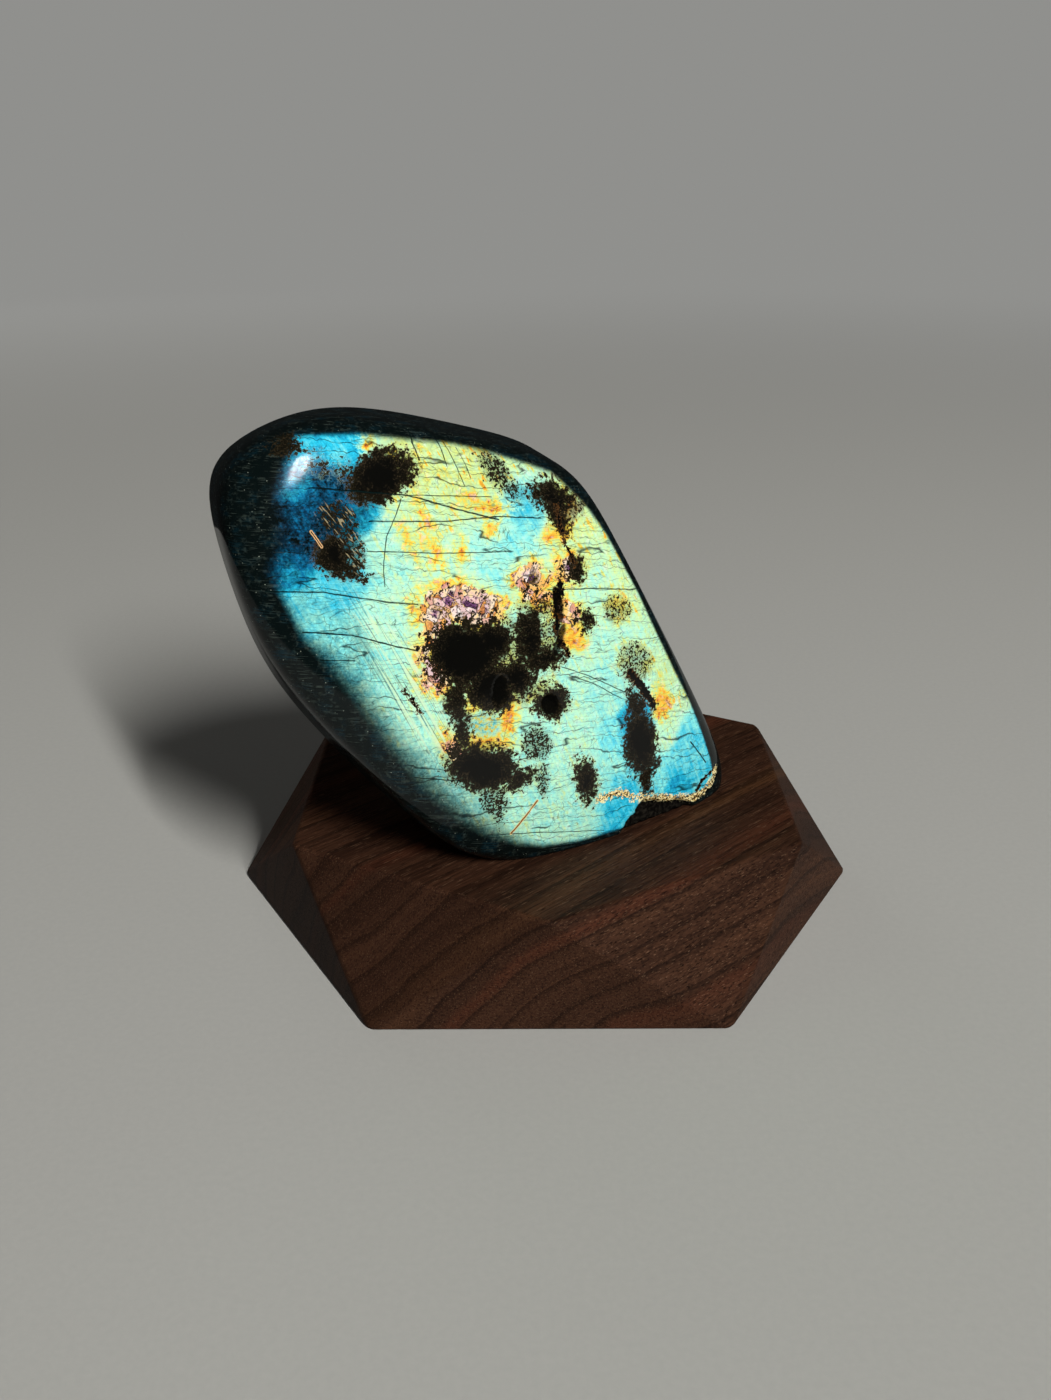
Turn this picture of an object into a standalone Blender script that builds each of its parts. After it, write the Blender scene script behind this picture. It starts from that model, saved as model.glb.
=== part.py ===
"""A polished labradorite free-form standing on a faceted walnut stand.

The stand is a hexagonal board whose upright corners are sawn off on a slant, so that its
top is a smaller hexagon turned by half a side. The stone is a thick slab ground on all
sides. Each ground plane is named by the direction it faces and by how far it lies from
the stone's middle, and polishing has rounded every edge where planes meet. Below, the
stone is cut flat to stand on a small spot, and its lower right edge is broken.
"""

import math
from typing import NamedTuple

import bmesh
import bpy
from mathutils import Euler, Matrix, Vector, noise

MM = 0.001

# Stand
BOARD_ACROSS_FLATS = 100.0 * MM
BOARD_THICKNESS = 20.0 * MM
STAND_EDGE_ROUNDING = 0.7 * MM
STAND_SIDES = 6
SHARP_EDGE = math.radians(25)
FLAT_WITHIN = math.radians(1)

# How the stone stands: its face is turned to the right and leans back a little
STONE_MIDDLE = Vector((-14.7, -12.3, 54.5)) * MM
FACE_TURN = math.radians(30)
FACE_LEAN = math.radians(8)
RESTING_GAP = 0.3 * MM

# How the stone is ground, seen from its face: x to the right, y up, z out of the face
FACE_DEPTH = 21.0 * MM
FACE_DOME = 75.0 * MM
BACK_DEPTH = 15.0 * MM
BACK_DOME = 80.0 * MM
EDGE_SHARPNESS = 12
BLANK_SEMI_AXES = Vector((45.0, 38.0, 19.0)) * MM
BLANK_SUBDIVISIONS = 5
WELD = 0.05 * MM
CHIPPED_EDGE = math.radians(50)


class GroundPlane(NamedTuple):
    """One ground side: where it faces round the rim, how far it turns to the face, in degrees."""

    name: str
    around: float
    towards_face: float
    distance: float


RIM = (
    GroundPlane("right_side", 27, 18, 29.5 * MM),
    GroundPlane("top", 73, 8, 32.0 * MM),
    GroundPlane("top_shoulder", 107, -8, 44.0 * MM),
    GroundPlane("top_left_corner", 147, -6, 52.5 * MM),
    GroundPlane("left_side", 191, -14, 34.0 * MM),
    GroundPlane("lower_left_side", 217, -4, 29.0 * MM),
    GroundPlane("bottom_left_corner", 254, 12, 41.5 * MM),
    GroundPlane("bottom", 258, -6, 38.0 * MM),
    GroundPlane("bottom_right_corner", 310, 2, 62.0 * MM),
)


class Pit(NamedTuple):
    """An open hollow in the polished face: its place, its half sizes, its turn in degrees."""

    name: str
    x: float
    y: float
    half_length: float
    half_width: float
    turn: float
    depth: float


PITS = (
    Pit("crevice_upper", 7.4 * MM, 5.6 * MM, 3.6 * MM, 0.9 * MM, 98, 1.1 * MM),
    Pit("crevice_lower", 7.2 * MM, 0.0 * MM, 3.2 * MM, 0.8 * MM, 66, 0.9 * MM),
    Pit("round_pit", 4.7 * MM, -10.3 * MM, 2.2 * MM, 1.7 * MM, 120, 1.0 * MM),
    Pit("pit_in_dark_mass", -4.2 * MM, -6.0 * MM, 2.6 * MM, 1.3 * MM, 80, 0.7 * MM),
)
PIT_STEEPNESS = 2.0

# The broken edge lies under a lip that falls to the right across the face
BREAK_LEFT = 19.0 * MM
BREAK_RIGHT = 35.5 * MM
BREAK_LIP_LEFT = -30.3 * MM
BREAK_LIP_RIGHT = -35.2 * MM
BREAK_DEPTH = 1.4 * MM
BREAK_RAMP = 0.9 * MM
BREAK_RAGGED = 0.7 * MM
BREAK_GRAIN = 1.6 * MM
BREAK_BACK = 4.0 * MM
BREAK_FRONT = 10.0 * MM

# Triangles are halved this often, in and just beside what is carved
CARVED_REFINEMENTS = 3
MARGIN_ROUND_BREAK = 1.6 * MM
MARGIN_ROUND_PIT = 0.9


def clear_scene():
    """Remove every object that the scene starts with."""
    for obj in list(bpy.data.objects):
        bpy.data.objects.remove(obj, do_unlink=True)


def new_collection(name):
    """Return a new collection linked to the scene."""
    collection = bpy.data.collections.new(name)
    bpy.context.scene.collection.children.link(collection)
    return collection


def new_material(name, colour, roughness, metallic):
    """Return a plain Principled material."""
    material = bpy.data.materials.new(name)
    material.use_nodes = True
    shader = material.node_tree.nodes["Principled BSDF"]
    shader.inputs["Base Color"].default_value = (*colour, 1.0)
    shader.inputs["Roughness"].default_value = roughness
    shader.inputs["Metallic"].default_value = metallic
    return material


def new_object(name, bm, material, collection):
    """Turn a bmesh into a named object of one material."""
    mesh = bpy.data.meshes.new(name)
    bm.normal_update()
    bm.to_mesh(mesh)
    bm.free()
    mesh.materials.append(material)
    obj = bpy.data.objects.new(name, mesh)
    collection.objects.link(obj)
    return obj


def hexagon(bm, corner_radius, first_corner, height):
    """Add a level ring of corners and return its vertices."""
    turn = Matrix.Rotation(first_corner, 4, "Z")
    place = Matrix.Translation((0.0, 0.0, height)) @ turn
    ring = bmesh.ops.create_circle(
        bm, cap_ends=False, segments=STAND_SIDES, radius=corner_radius, matrix=place
    )
    return ring["verts"]


def make_stand(collection):
    """Build the stand: the hull of a wide hexagon below and a turned, smaller one above.

    The corners of the upper hexagon are the middles of the board's top sides, which is
    what is left of the board once its corners are sawn off.
    """
    half_angle = math.pi / STAND_SIDES
    side_radius = BOARD_ACROSS_FLATS / 2
    corner_radius = side_radius / math.cos(half_angle)
    bm = bmesh.new()
    below = hexagon(bm, corner_radius, math.pi / 2, 0.0)
    above = hexagon(bm, side_radius, 0.0, BOARD_THICKNESS)
    bmesh.ops.delete(bm, geom=bm.edges[:], context="EDGES_FACES")
    bmesh.ops.convex_hull(bm, input=below + above)
    bmesh.ops.dissolve_limit(
        bm, angle_limit=FLAT_WITHIN, verts=bm.verts[:], edges=bm.edges[:]
    )
    bmesh.ops.recalc_face_normals(bm, faces=bm.faces[:])
    walnut = new_material("walnut", (0.070, 0.034, 0.019), 0.48, 0.0)
    stand = new_object("walnut_stand", bm, walnut, collection)
    rounding = stand.modifiers.new("edge_rounding", "BEVEL")
    rounding.width = STAND_EDGE_ROUNDING
    rounding.segments = 2
    rounding.limit_method = "ANGLE"
    rounding.angle_limit = SHARP_EDGE
    return stand


def rim_normal(plane):
    """Return the direction that a ground side of the rim faces."""
    around = math.radians(plane.around)
    rise = math.radians(plane.towards_face)
    flat = math.cos(rise)
    return Vector((math.cos(around) * flat, math.sin(around) * flat, math.sin(rise)))


RIM_NORMALS = tuple((rim_normal(plane), plane.distance) for plane in RIM)


def reach(direction):
    """Return how far the ground surface lies from the stone's middle in a direction.

    Each plane adds its share, and the high power makes the nearest plane win, with a
    soft change from one to the next. That change is the polished, rounded edge.
    """
    share = 0.0
    for normal, distance in RIM_NORMALS:
        facing = direction.dot(normal) / distance
        if facing > 0.0:
            share += facing**EDGE_SHARPNESS
    if direction.z > 0.0:
        depth, dome = FACE_DEPTH, FACE_DOME
    else:
        depth, dome = BACK_DEPTH, BACK_DOME
    sideways = math.hypot(direction.x, direction.y) / dome
    share += math.hypot(direction.z / depth, sideways) ** EDGE_SHARPNESS
    return share ** (-1.0 / EDGE_SHARPNESS)


def grind(vertices):
    """Move vertices along their rays onto the ground surface."""
    for vertex in vertices:
        ray = vertex.co.normalized()
        vertex.co = ray * reach(ray)


def eased(value):
    """Return a soft step from 0 to 1."""
    held = min(max(value, 0.0), 1.0)
    return held * held * (3.0 - 2.0 * held)


def inside_pit(pit, point):
    """Return how far inside a pit a point lies: 1 in its middle, 0 at its edge."""
    turn = math.radians(pit.turn)
    dx, dy = point.x - pit.x, point.y - pit.y
    along = (dx * math.cos(turn) + dy * math.sin(turn)) / pit.half_length
    across = (dy * math.cos(turn) - dx * math.sin(turn)) / pit.half_width
    return 1.0 - math.hypot(along, across)


def break_lip(x):
    """Return the height of the break's lip above a place on the lower edge."""
    share = (x - BREAK_LEFT) / (BREAK_RIGHT - BREAK_LEFT)
    return BREAK_LIP_LEFT + share * (BREAK_LIP_RIGHT - BREAK_LIP_LEFT)


def inside_break(point):
    """Return how far a point lies inside the broken edge, in metres."""
    ragged = BREAK_RAGGED * noise.noise(point / BREAK_GRAIN)
    below = break_lip(point.x) - point.y
    return min(below, point.x - BREAK_LEFT, BREAK_RIGHT - point.x) + ragged


def carved(point):
    """Return how much of the polished face is missing at a point, in metres."""
    if point.z <= BREAK_BACK:
        return 0.0
    deepest = max(pit.depth * eased(PIT_STEEPNESS * inside_pit(pit, point)) for pit in PITS)
    front = eased((point.z - BREAK_BACK) / (BREAK_FRONT - BREAK_BACK))
    broken = BREAK_DEPTH * front * eased(inside_break(point) / BREAK_RAMP)
    return max(deepest, broken)


def near_carving(point):
    """Tell whether a point lies in or just beside a pit or the broken edge."""
    if point.z <= BREAK_BACK:
        return False
    if inside_break(point) > -MARGIN_ROUND_BREAK:
        return True
    return any(inside_pit(pit, point) > -MARGIN_ROUND_PIT for pit in PITS)


def refine_where_carved(bm):
    """Halve the triangles near the pits and the break, so that they keep their shape."""
    for _ in range(CARVED_REFINEMENTS):
        chosen = [face for face in bm.faces if near_carving(face.calc_center_median())]
        edges = list({edge for face in chosen for edge in face.edges})
        bmesh.ops.subdivide_edges(bm, edges=edges, cuts=1, use_grid_fill=True)
        bmesh.ops.triangulate(bm, faces=bm.faces[:])
        grind(bm.verts)


def cut_flat(bm, place):
    """Cut the stone level just above the stand, and close the cut."""
    to_stone = place.inverted()
    point = to_stone @ Vector((0.0, 0.0, BOARD_THICKNESS + RESTING_GAP))
    down = to_stone.to_3x3() @ Vector((0.0, 0.0, -1.0))
    cut = bmesh.ops.bisect_plane(
        bm, geom=bm.verts[:] + bm.edges[:] + bm.faces[:], plane_co=point, plane_no=down,
        clear_outer=True,
    )
    rim = [item for item in cut["geom_cut"] if isinstance(item, bmesh.types.BMEdge)]
    bmesh.ops.contextual_create(bm, geom=rim)
    bmesh.ops.remove_doubles(bm, verts=bm.verts[:], dist=WELD)
    bmesh.ops.triangulate(bm, faces=bm.faces[:])
    bmesh.ops.recalc_face_normals(bm, faces=bm.faces[:])


def make_stone(collection):
    """Build the stone from a round blank that is ground, chipped and cut flat below."""
    turn = Euler((math.pi / 2 - FACE_LEAN, 0.0, FACE_TURN)).to_matrix().to_4x4()
    place = Matrix.Translation(STONE_MIDDLE) @ turn
    bm = bmesh.new()
    blank = Matrix.Diagonal((*BLANK_SEMI_AXES, 1.0))
    bmesh.ops.create_icosphere(
        bm, subdivisions=BLANK_SUBDIVISIONS, radius=1.0, matrix=blank
    )
    grind(bm.verts)
    refine_where_carved(bm)
    for vertex in bm.verts:
        vertex.co.z -= carved(vertex.co)
    cut_flat(bm, place)
    polished = new_material("polished_labradorite", (0.110, 0.330, 0.340), 0.10, 0.0)
    stone = new_object("labradorite", bm, polished, collection)
    stone.matrix_world = place
    stone.data.shade_smooth()
    stone.data.set_sharp_from_angle(angle=CHIPPED_EDGE)
    return stone


def main():
    """Build the stand and the stone."""
    clear_scene()
    parts = new_collection("labradorite_on_stand")
    make_stand(parts)
    make_stone(parts)


main()
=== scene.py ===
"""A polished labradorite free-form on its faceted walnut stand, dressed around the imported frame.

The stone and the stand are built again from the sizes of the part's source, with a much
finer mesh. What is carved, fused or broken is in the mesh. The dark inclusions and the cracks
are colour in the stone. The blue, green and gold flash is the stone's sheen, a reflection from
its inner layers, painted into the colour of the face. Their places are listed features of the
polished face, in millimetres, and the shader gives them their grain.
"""

import logging
import math
from dataclasses import dataclass
from enum import Enum
from typing import Any, Callable, NamedTuple, Sequence

import bpy
import numpy as np
from mathutils import Euler, Matrix, Vector, noise


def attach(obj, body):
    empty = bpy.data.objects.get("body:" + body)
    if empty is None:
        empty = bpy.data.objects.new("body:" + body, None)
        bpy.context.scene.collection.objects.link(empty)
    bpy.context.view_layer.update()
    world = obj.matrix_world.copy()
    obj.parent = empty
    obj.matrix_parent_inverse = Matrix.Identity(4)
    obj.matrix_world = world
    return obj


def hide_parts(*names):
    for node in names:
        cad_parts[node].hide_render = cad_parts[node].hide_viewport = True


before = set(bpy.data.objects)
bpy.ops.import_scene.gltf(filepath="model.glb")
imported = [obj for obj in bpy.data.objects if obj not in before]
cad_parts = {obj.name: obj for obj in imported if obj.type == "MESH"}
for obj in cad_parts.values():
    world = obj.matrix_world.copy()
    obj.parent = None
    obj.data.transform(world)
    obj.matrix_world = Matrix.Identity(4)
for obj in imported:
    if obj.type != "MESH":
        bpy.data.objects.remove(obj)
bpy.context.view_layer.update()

LOG = logging.getLogger("labradorite")
MM = 0.001
Colour = tuple[float, float, float, float]
Array = np.ndarray


def shade(red: int, green: int, blue: int) -> Colour:
    """Return a colour as the shader takes it.

    Args:
        red: The red of the colour as a screen shows it, 0 to 255.
        green: The green of it.
        blue: The blue of it.

    Returns:
        The same colour in linear light, opaque.
    """
    linear = [
        part / 12.92 if part <= 0.04045 else ((part + 0.055) / 1.055) ** 2.4
        for part in (red / 255, green / 255, blue / 255)
    ]
    return (linear[0], linear[1], linear[2], 1.0)


def eased(value: Array) -> Array:
    """Return a soft step from 0 to 1."""
    held = np.clip(value, 0.0, 1.0)
    return held * held * (3.0 - 2.0 * held)


# Shader maths


class Wire:
    """The value that leaves a socket, so that shader maths reads as Python."""

    def __init__(self, bench: "Bench", socket: bpy.types.NodeSocket) -> None:
        """Hold the socket and the bench it is on."""
        self.bench = bench
        self.socket = socket

    def math(self, operation: str, *others: Any) -> "Wire":
        """Return this value combined with others by one Math node."""
        values = dict(enumerate((self, *others)))
        return self.bench.node("ShaderNodeMath", {"operation": operation}, values)

    def __add__(self, other: Any) -> "Wire":
        """Return the sum."""
        return self.math("ADD", other)

    def __sub__(self, other: Any) -> "Wire":
        """Return the difference."""
        return self.math("SUBTRACT", other)

    def __rsub__(self, other: float) -> "Wire":
        """Return a number less this value."""
        return self.bench.node("ShaderNodeMath", {"operation": "SUBTRACT"}, {0: other, 1: self})

    def __mul__(self, other: Any) -> "Wire":
        """Return the product."""
        return self.math("MULTIPLY", other)

    __radd__ = __add__
    __rmul__ = __mul__

    def __abs__(self) -> "Wire":
        """Return the size of the value."""
        return self.math("ABSOLUTE")

    def most(self, other: Any) -> "Wire":
        """Return the larger of two values."""
        return self.math("MAXIMUM", other)

    def least(self, other: Any) -> "Wire":
        """Return the smaller of two values."""
        return self.math("MINIMUM", other)

    def rise(self, low: float, high: float) -> "Wire":
        """Return a soft step: 0 at low, 1 at high. It falls where low is the larger."""
        return self.bench.node(
            "ShaderNodeMapRange",
            {"interpolation_type": "SMOOTHSTEP"},
            {"Value": self, "From Min": low, "From Max": high},
        )

    def lines(self, count: float, width: float) -> "Wire":
        """Return thin lines where a wandering value passes through its steps.

        Args:
            count: How many steps the value is cut into.
            width: The half width of a line, as a share of a step.

        Returns:
            1 on the lines, 0 between them.
        """
        return abs((self * count).math("FRACT") - 0.5).rise(width, 0.0)


class Bench:
    """The node tree of one finish, where its nodes are put together."""

    def __init__(self, name: str) -> None:
        """Start a material with its Principled shader."""
        self.material = bpy.data.materials.new(name)
        self.material.use_nodes = True
        self.tree = self.material.node_tree
        self.shader = self.tree.nodes["Principled BSDF"]

    @staticmethod
    def find(sockets: Any, key: Any) -> bpy.types.NodeSocket:
        """Return a socket by its place, its identifier or its name."""
        if isinstance(key, int):
            return sockets[key]
        return next((item for item in sockets if item.identifier == key), None) or sockets[key]

    def feed(self, socket: bpy.types.NodeSocket, value: Any) -> None:
        """Link a wire to a socket, or set the socket's own value."""
        if isinstance(value, Wire):
            self.tree.links.new(value.socket, socket)
        else:
            socket.default_value = value

    def node(self, kind: str, settings: dict | None = None, sockets: dict | None = None,
             output: Any = 0) -> Wire:
        """Add a node.

        Args:
            kind: The node's type.
            settings: Its properties, set first; stops fills a ramp.
            sockets: Its inputs, each a value or a wire.
            output: The output to return.

        Returns:
            The wire that leaves that output.
        """
        node = self.tree.nodes.new(kind)
        for key, value in (settings or {}).items():
            if key == "stops":
                self.fill_ramp(node.color_ramp, value)
            elif key == "ramp":
                node.color_ramp.interpolation = value
            else:
                setattr(node, key, value)
        for key, value in (sockets or {}).items():
            self.feed(self.find(node.inputs, key), value)
        return Wire(self, self.find(node.outputs, output))

    @staticmethod
    def fill_ramp(ramp: bpy.types.ColorRamp, stops: Sequence[tuple[float, Colour]]) -> None:
        """Give a ramp its stops, in rising order."""
        while len(ramp.elements) > 1:
            ramp.elements.remove(ramp.elements[-1])
        for place, (position, colour) in enumerate(stops):
            stop = ramp.elements[0] if place == 0 else ramp.elements.new(position)
            stop.position = position
            stop.color = colour

    def attribute(self, name: str, output: str = "Fac") -> Wire:
        """Return what the mesh stores under a name."""
        return self.node("ShaderNodeAttribute", {"attribute_name": name}, output=output)

    def laid(self, place: Wire, turn: float, size: Sequence[float], offset: Any = (0, 0, 0)) -> Wire:
        """Return a place measured along turned axes, in units of its grain.

        Args:
            place: The place in the piece.
            turn: How far the grain is turned about z, in degrees.
            size: The length, the width and the depth of the grain.
            offset: Where the grain starts from.

        Returns:
            The place as a texture reads it.
        """
        return self.node(
            "ShaderNodeMapping",
            {"vector_type": "TEXTURE"},
            {"Vector": place, "Location": offset, "Rotation": (0, 0, math.radians(turn)),
             "Scale": tuple(size)},
        )

    def noise(self, place: Wire, detail: float = 2.0, rough: float = 0.5, scale: float = 1.0,
              deep: bool = True) -> Wire:
        """Return cloudy noise, about 0.5 in the middle.

        Args:
            place: Where it is read.
            detail: How many finer layers it has.
            rough: How strong the finer layers are.
            scale: How fine it is.
            deep: Whether it also changes along z.

        Returns:
            The noise.
        """
        return self.node(
            "ShaderNodeTexNoise", {"noise_dimensions": "3D" if deep else "2D"},
            {"Vector": place, "Scale": scale, "Detail": detail, "Roughness": rough},
        )

    def cells(self, place: Wire, feature: str = "F1", scale: float = 1.0, output: str = "Color",
              deep: bool = False) -> Wire:
        """Return a cell pattern: each cell's own colour, or the distance in it.

        Args:
            place: Where it is read.
            feature: What is measured in the cells.
            scale: How fine it is.
            output: The output to return.
            deep: Whether it also changes along z.

        Returns:
            The colour or the distance.
        """
        return self.node(
            "ShaderNodeTexVoronoi", {"feature": feature, "voronoi_dimensions": "3D" if deep else "2D"},
            {"Vector": place, "Scale": scale}, output=output,
        )

    def ramp(self, value: Wire, stops: Sequence[tuple[float, Colour]], kind: str = "LINEAR") -> Wire:
        """Return the colour that a ramp gives for a value."""
        return self.node(
            "ShaderNodeValToRGB", {"ramp": kind, "stops": stops}, {"Fac": value}, output="Color"
        )

    def mix(self, below: Any, above: Any, share: Any, blend: str = "MIX") -> Wire:
        """Return one colour laid over another by a share."""
        return self.node(
            "ShaderNodeMix", {"data_type": "RGBA", "blend_type": blend},
            {"Factor_Float": share, "A_Color": below, "B_Color": above}, output="Result_Color",
        )

    def vector(self, operation: str, *values: Any, output: Any = 0) -> Wire:
        """Return vectors combined by one Vector Math node."""
        return self.node(
            "ShaderNodeVectorMath", {"operation": operation}, dict(enumerate(values)), output=output
        )

    def finish(self, colour: Wire, roughness: Any, relief: Wire, depth: float) -> bpy.types.Material:
        """Wire the shader's sockets that vary over the surface.

        Args:
            colour: The base colour.
            roughness: The roughness.
            relief: The height that the bump reads, 0 to 1.
            depth: The height of 1, in metres.

        Returns:
            The material.
        """
        bump = self.node("ShaderNodeBump", {}, {"Height": relief, "Distance": depth, "Strength": 1.0})
        for name, value in (("Base Color", colour), ("Roughness", roughness), ("Normal", bump)):
            self.feed(self.shader.inputs[name], value)
        return self.material


# What the polished face shows, in millimetres from the stone's middle


class Look(Enum):
    """What a blotch in the face is made of."""

    MASS = "black inclusion"
    CRYSTAL = "pale pink and purple crystals with a gold rim"
    OLIVE = "gold and olive speckles"
    SPECKLED = "dark speckles in the flash"
    NEEDLES = "pale needles over dark stone"
    BROWN = "brown stain"
    GOLD = "gold and orange flash"
    GREEN = "window of green flash"


class Ink(Enum):
    """What a thin mark in the face looks like."""

    CRACK = "dark crack"
    # Along the crevice this black is painted shade in its hollow
    BLACK = "black ragged lath"
    PALE = "pale pink crystal lath"
    BROWN = "brown stroke with a pale side"
    NEEDLE = "orange needle"


class Blotch(NamedTuple):
    """A patch of the face: its middle, half sizes and turn in degrees."""

    name: str
    look: Look
    x: float
    y: float
    half_length: float
    half_width: float
    turn: float

    def inside(self, x: Array, y: Array) -> Array:
        """Return how far inside its edge places lie, in millimetres."""
        turn = math.radians(self.turn)
        right, up = x - self.x, y - self.y
        along = (right * math.cos(turn) + up * math.sin(turn)) / self.half_length
        across = (up * math.cos(turn) - right * math.sin(turn)) / self.half_width
        return (1.0 - np.hypot(along, across)) * min(self.half_length, self.half_width)


class Zone(NamedTuple):
    """A part of the flash: its hue on the flash ramp, its glow, its middle and its reach."""

    name: str
    hue: float
    glow: float
    x: float
    y: float
    reach: float


class Mark(NamedTuple):
    """A thin mark along a path: its half width and its ink."""

    name: str
    path: tuple[tuple[float, float], ...]
    half_width: float
    ink: Ink = Ink.CRACK


BLOTCHES = (
    Blotch("top_mass", Look.MASS, -19.5, 28.9, 4.4, 3.0, 13),
    Blotch("top_mass_left", Look.MASS, -22.3, 28.2, 2.1, 1.7, 75),
    Blotch("small_spot", Look.MASS, -32.2, 34.3, 1.1, 0.8, 179),
    Blotch("speckled_mass", Look.SPECKLED, -0.9, 27.2, 3.0, 1.6, 124),
    Blotch("speckled_mass_tail", Look.SPECKLED, 1.1, 24.9, 1.9, 1.0, 140),
    Blotch("upper_right_mass", Look.MASS, 8.4, 22.4, 3.3, 1.9, 158),
    Blotch("upper_right_foot", Look.MASS, 8.8, 19.6, 1.9, 1.0, 115),
    Blotch("upper_right_brown", Look.BROWN, 11.6, 19.8, 2.1, 1.8, 1),
    Blotch("left_mass", Look.MASS, -28.0, 18.6, 2.3, 2.1, 80),
    Blotch("left_mass_foot", Look.MASS, -27.0, 16.7, 1.9, 0.8, 153),
    Blotch("left_needles", Look.NEEDLES, -27.2, 23.8, 2.5, 2.2, 180),
    Blotch("left_needles_right", Look.NEEDLES, -25.2, 19.8, 3.0, 1.4, 92),
    Blotch("main_crystals_top", Look.CRYSTAL, -9.1, 8.0, 6.9, 3.1, 163),
    Blotch("main_crystals_left", Look.CRYSTAL, -14.6, 6.7, 3.4, 2.3, 86),
    Blotch("main_crystals_foot", Look.CRYSTAL, -14.6, -1.7, 2.9, 2.4, 159),
    Blotch("lath_tip", Look.CRYSTAL, -8.7, 10.3, 1.4, 0.8, 118),
    Blotch("left_fringe", Look.CRYSTAL, -16.2, 3.0, 2.1, 1.0, 85),
    Blotch("main_core", Look.MASS, -9.6, 0.7, 5.9, 4.2, 158),
    Blotch("main_core_right", Look.MASS, -5.0, 1.8, 3.2, 2.7, 157),
    Blotch("main_foot", Look.MASS, -5.4, -5.4, 3.9, 3.4, 147),
    Blotch("bridge", Look.MASS, -1.3, -4.5, 3.2, 2.2, 162),
    Blotch("second_mass", Look.MASS, 1.7, 0.9, 3.9, 1.9, 84),
    Blotch("second_mass_right", Look.MASS, 4.0, -2.4, 2.8, 1.5, 3),
    Blotch("olive_between", Look.OLIVE, -2.2, 1.6, 3.9, 2.7, 101),
    Blotch("olive_top", Look.OLIVE, 4.1, 5.8, 3.7, 2.1, 168),
    Blotch("olive_low", Look.OLIVE, -0.1, -6.5, 3.0, 2.4, 153),
    Blotch("olive_right", Look.OLIVE, 5.3, 0.2, 3.6, 2.2, 90),
    Blotch("pink_patch", Look.CRYSTAL, 2.9, 10.4, 2.9, 2.4, 165),
    Blotch("pink_patch_foot", Look.CRYSTAL, 3.3, 7.6, 2.7, 1.3, 169),
    Blotch("pink_patch_right", Look.CRYSTAL, 9.8, 11.0, 2.3, 2.0, 162),
    Blotch("dark_by_pink", Look.MASS, 11.6, 10.6, 1.2, 1.1, 94),
    Blotch("purple_right", Look.CRYSTAL, 9.4, 3.7, 2.4, 1.9, 158),
    Blotch("dark_tip_right", Look.MASS, 12.4, 2.4, 1.0, 0.8, 95),
    Blotch("orange_right", Look.GOLD, 9.8, 0.2, 2.8, 2.5, 136),
    Blotch("pit_rim", Look.MASS, 5.0, -9.8, 2.6, 2.1, 163),
    Blotch("pit_side", Look.OLIVE, 3.6, -7.8, 2.5, 2.0, 154),
    Blotch("link_top", Look.MASS, -11.8, -6.1, 2.2, 1.0, 78),
    Blotch("link_low", Look.MASS, -11.1, -10.8, 3.0, 0.8, 97),
    Blotch("orange_window_top", Look.GOLD, -7.6, -7.2, 3.1, 1.8, 150),
    Blotch("orange_window_right", Look.GOLD, -2.9, -9.9, 3.4, 1.7, 77),
    Blotch("orange_window_foot", Look.GOLD, -7.5, -14.2, 4.3, 1.4, 167),
    Blotch("green_window", Look.GREEN, -7.4, -11.0, 2.9, 2.0, 160),
    Blotch("lower_mass", Look.MASS, -8.0, -18.2, 5.6, 3.2, 156),
    Blotch("lower_mass_left", Look.CRYSTAL, -12.7, -14.2, 2.8, 1.5, 109),
    Blotch("lower_mass_nub", Look.MASS, -1.6, -21.2, 1.9, 1.1, 179),
    Blotch("lower_tail", Look.SPECKLED, -6.4, -23.7, 2.7, 1.7, 111),
    Blotch("lower_tail_tip", Look.SPECKLED, -5.6, -26.1, 1.7, 0.8, 103),
    Blotch("grey_speckle", Look.SPECKLED, 1.9, -16.3, 2.8, 2.3, 122),
    Blotch("small_dark", Look.SPECKLED, 2.5, -22.5, 2.1, 0.9, 91),
    Blotch("oval", Look.MASS, 11.1, -24.8, 3.1, 1.6, 108),
    Blotch("blue_black", Look.MASS, 22.7, -21.0, 5.6, 2.9, 103),
    Blotch("blue_black_top", Look.MASS, 21.5, -14.4, 2.6, 1.0, 105),
    Blotch("blue_black_foot", Look.MASS, 23.9, -27.4, 3.0, 0.8, 93),
    Blotch("olive_spot", Look.OLIVE, 21.8, -6.5, 3.6, 2.8, 155),
    Blotch("olive_spot_up", Look.OLIVE, 18.6, 3.0, 2.6, 2.2, 158),
    Blotch("orange_by_diagonal", Look.GOLD, 27.3, -15.1, 2.9, 1.7, 107),
    Blotch("yellow_left", Look.GOLD, -3.3, 22.3, 2.4, 0.8, 173),
    Blotch("yellow_low", Look.GOLD, -3.4, 19.2, 1.4, 0.9, 96),
    Blotch("yellow_tail", Look.GOLD, 8.5, 16.9, 2.6, 1.4, 5),
    Blotch("yellow_speckle_top", Look.OLIVE, -28.2, 31.3, 1.6, 1.3, 150),
    Blotch("yellow_speckle_right", Look.OLIVE, -24.9, 30.0, 1.8, 1.1, 135),
    Blotch("yellow_near_top", Look.GOLD, -20.8, 33.0, 1.1, 0.7, 63),
    Blotch("fleck_top", Look.GOLD, -6.4, 24.3, 0.9, 0.5, 20),
    Blotch("fleck_middle", Look.GOLD, -13.2, 17.0, 1.9, 0.7, -66),
    Blotch("fleck_low", Look.GOLD, -8.6, 16.4, 1.2, 0.8, 80),
    Blotch("fleck_left", Look.GOLD, -17.1, 19.2, 1.9, 0.4, -66),
    Blotch("fleck_upper", Look.GOLD, -13.8, 22.6, 1.6, 0.4, -66),
)

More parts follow.
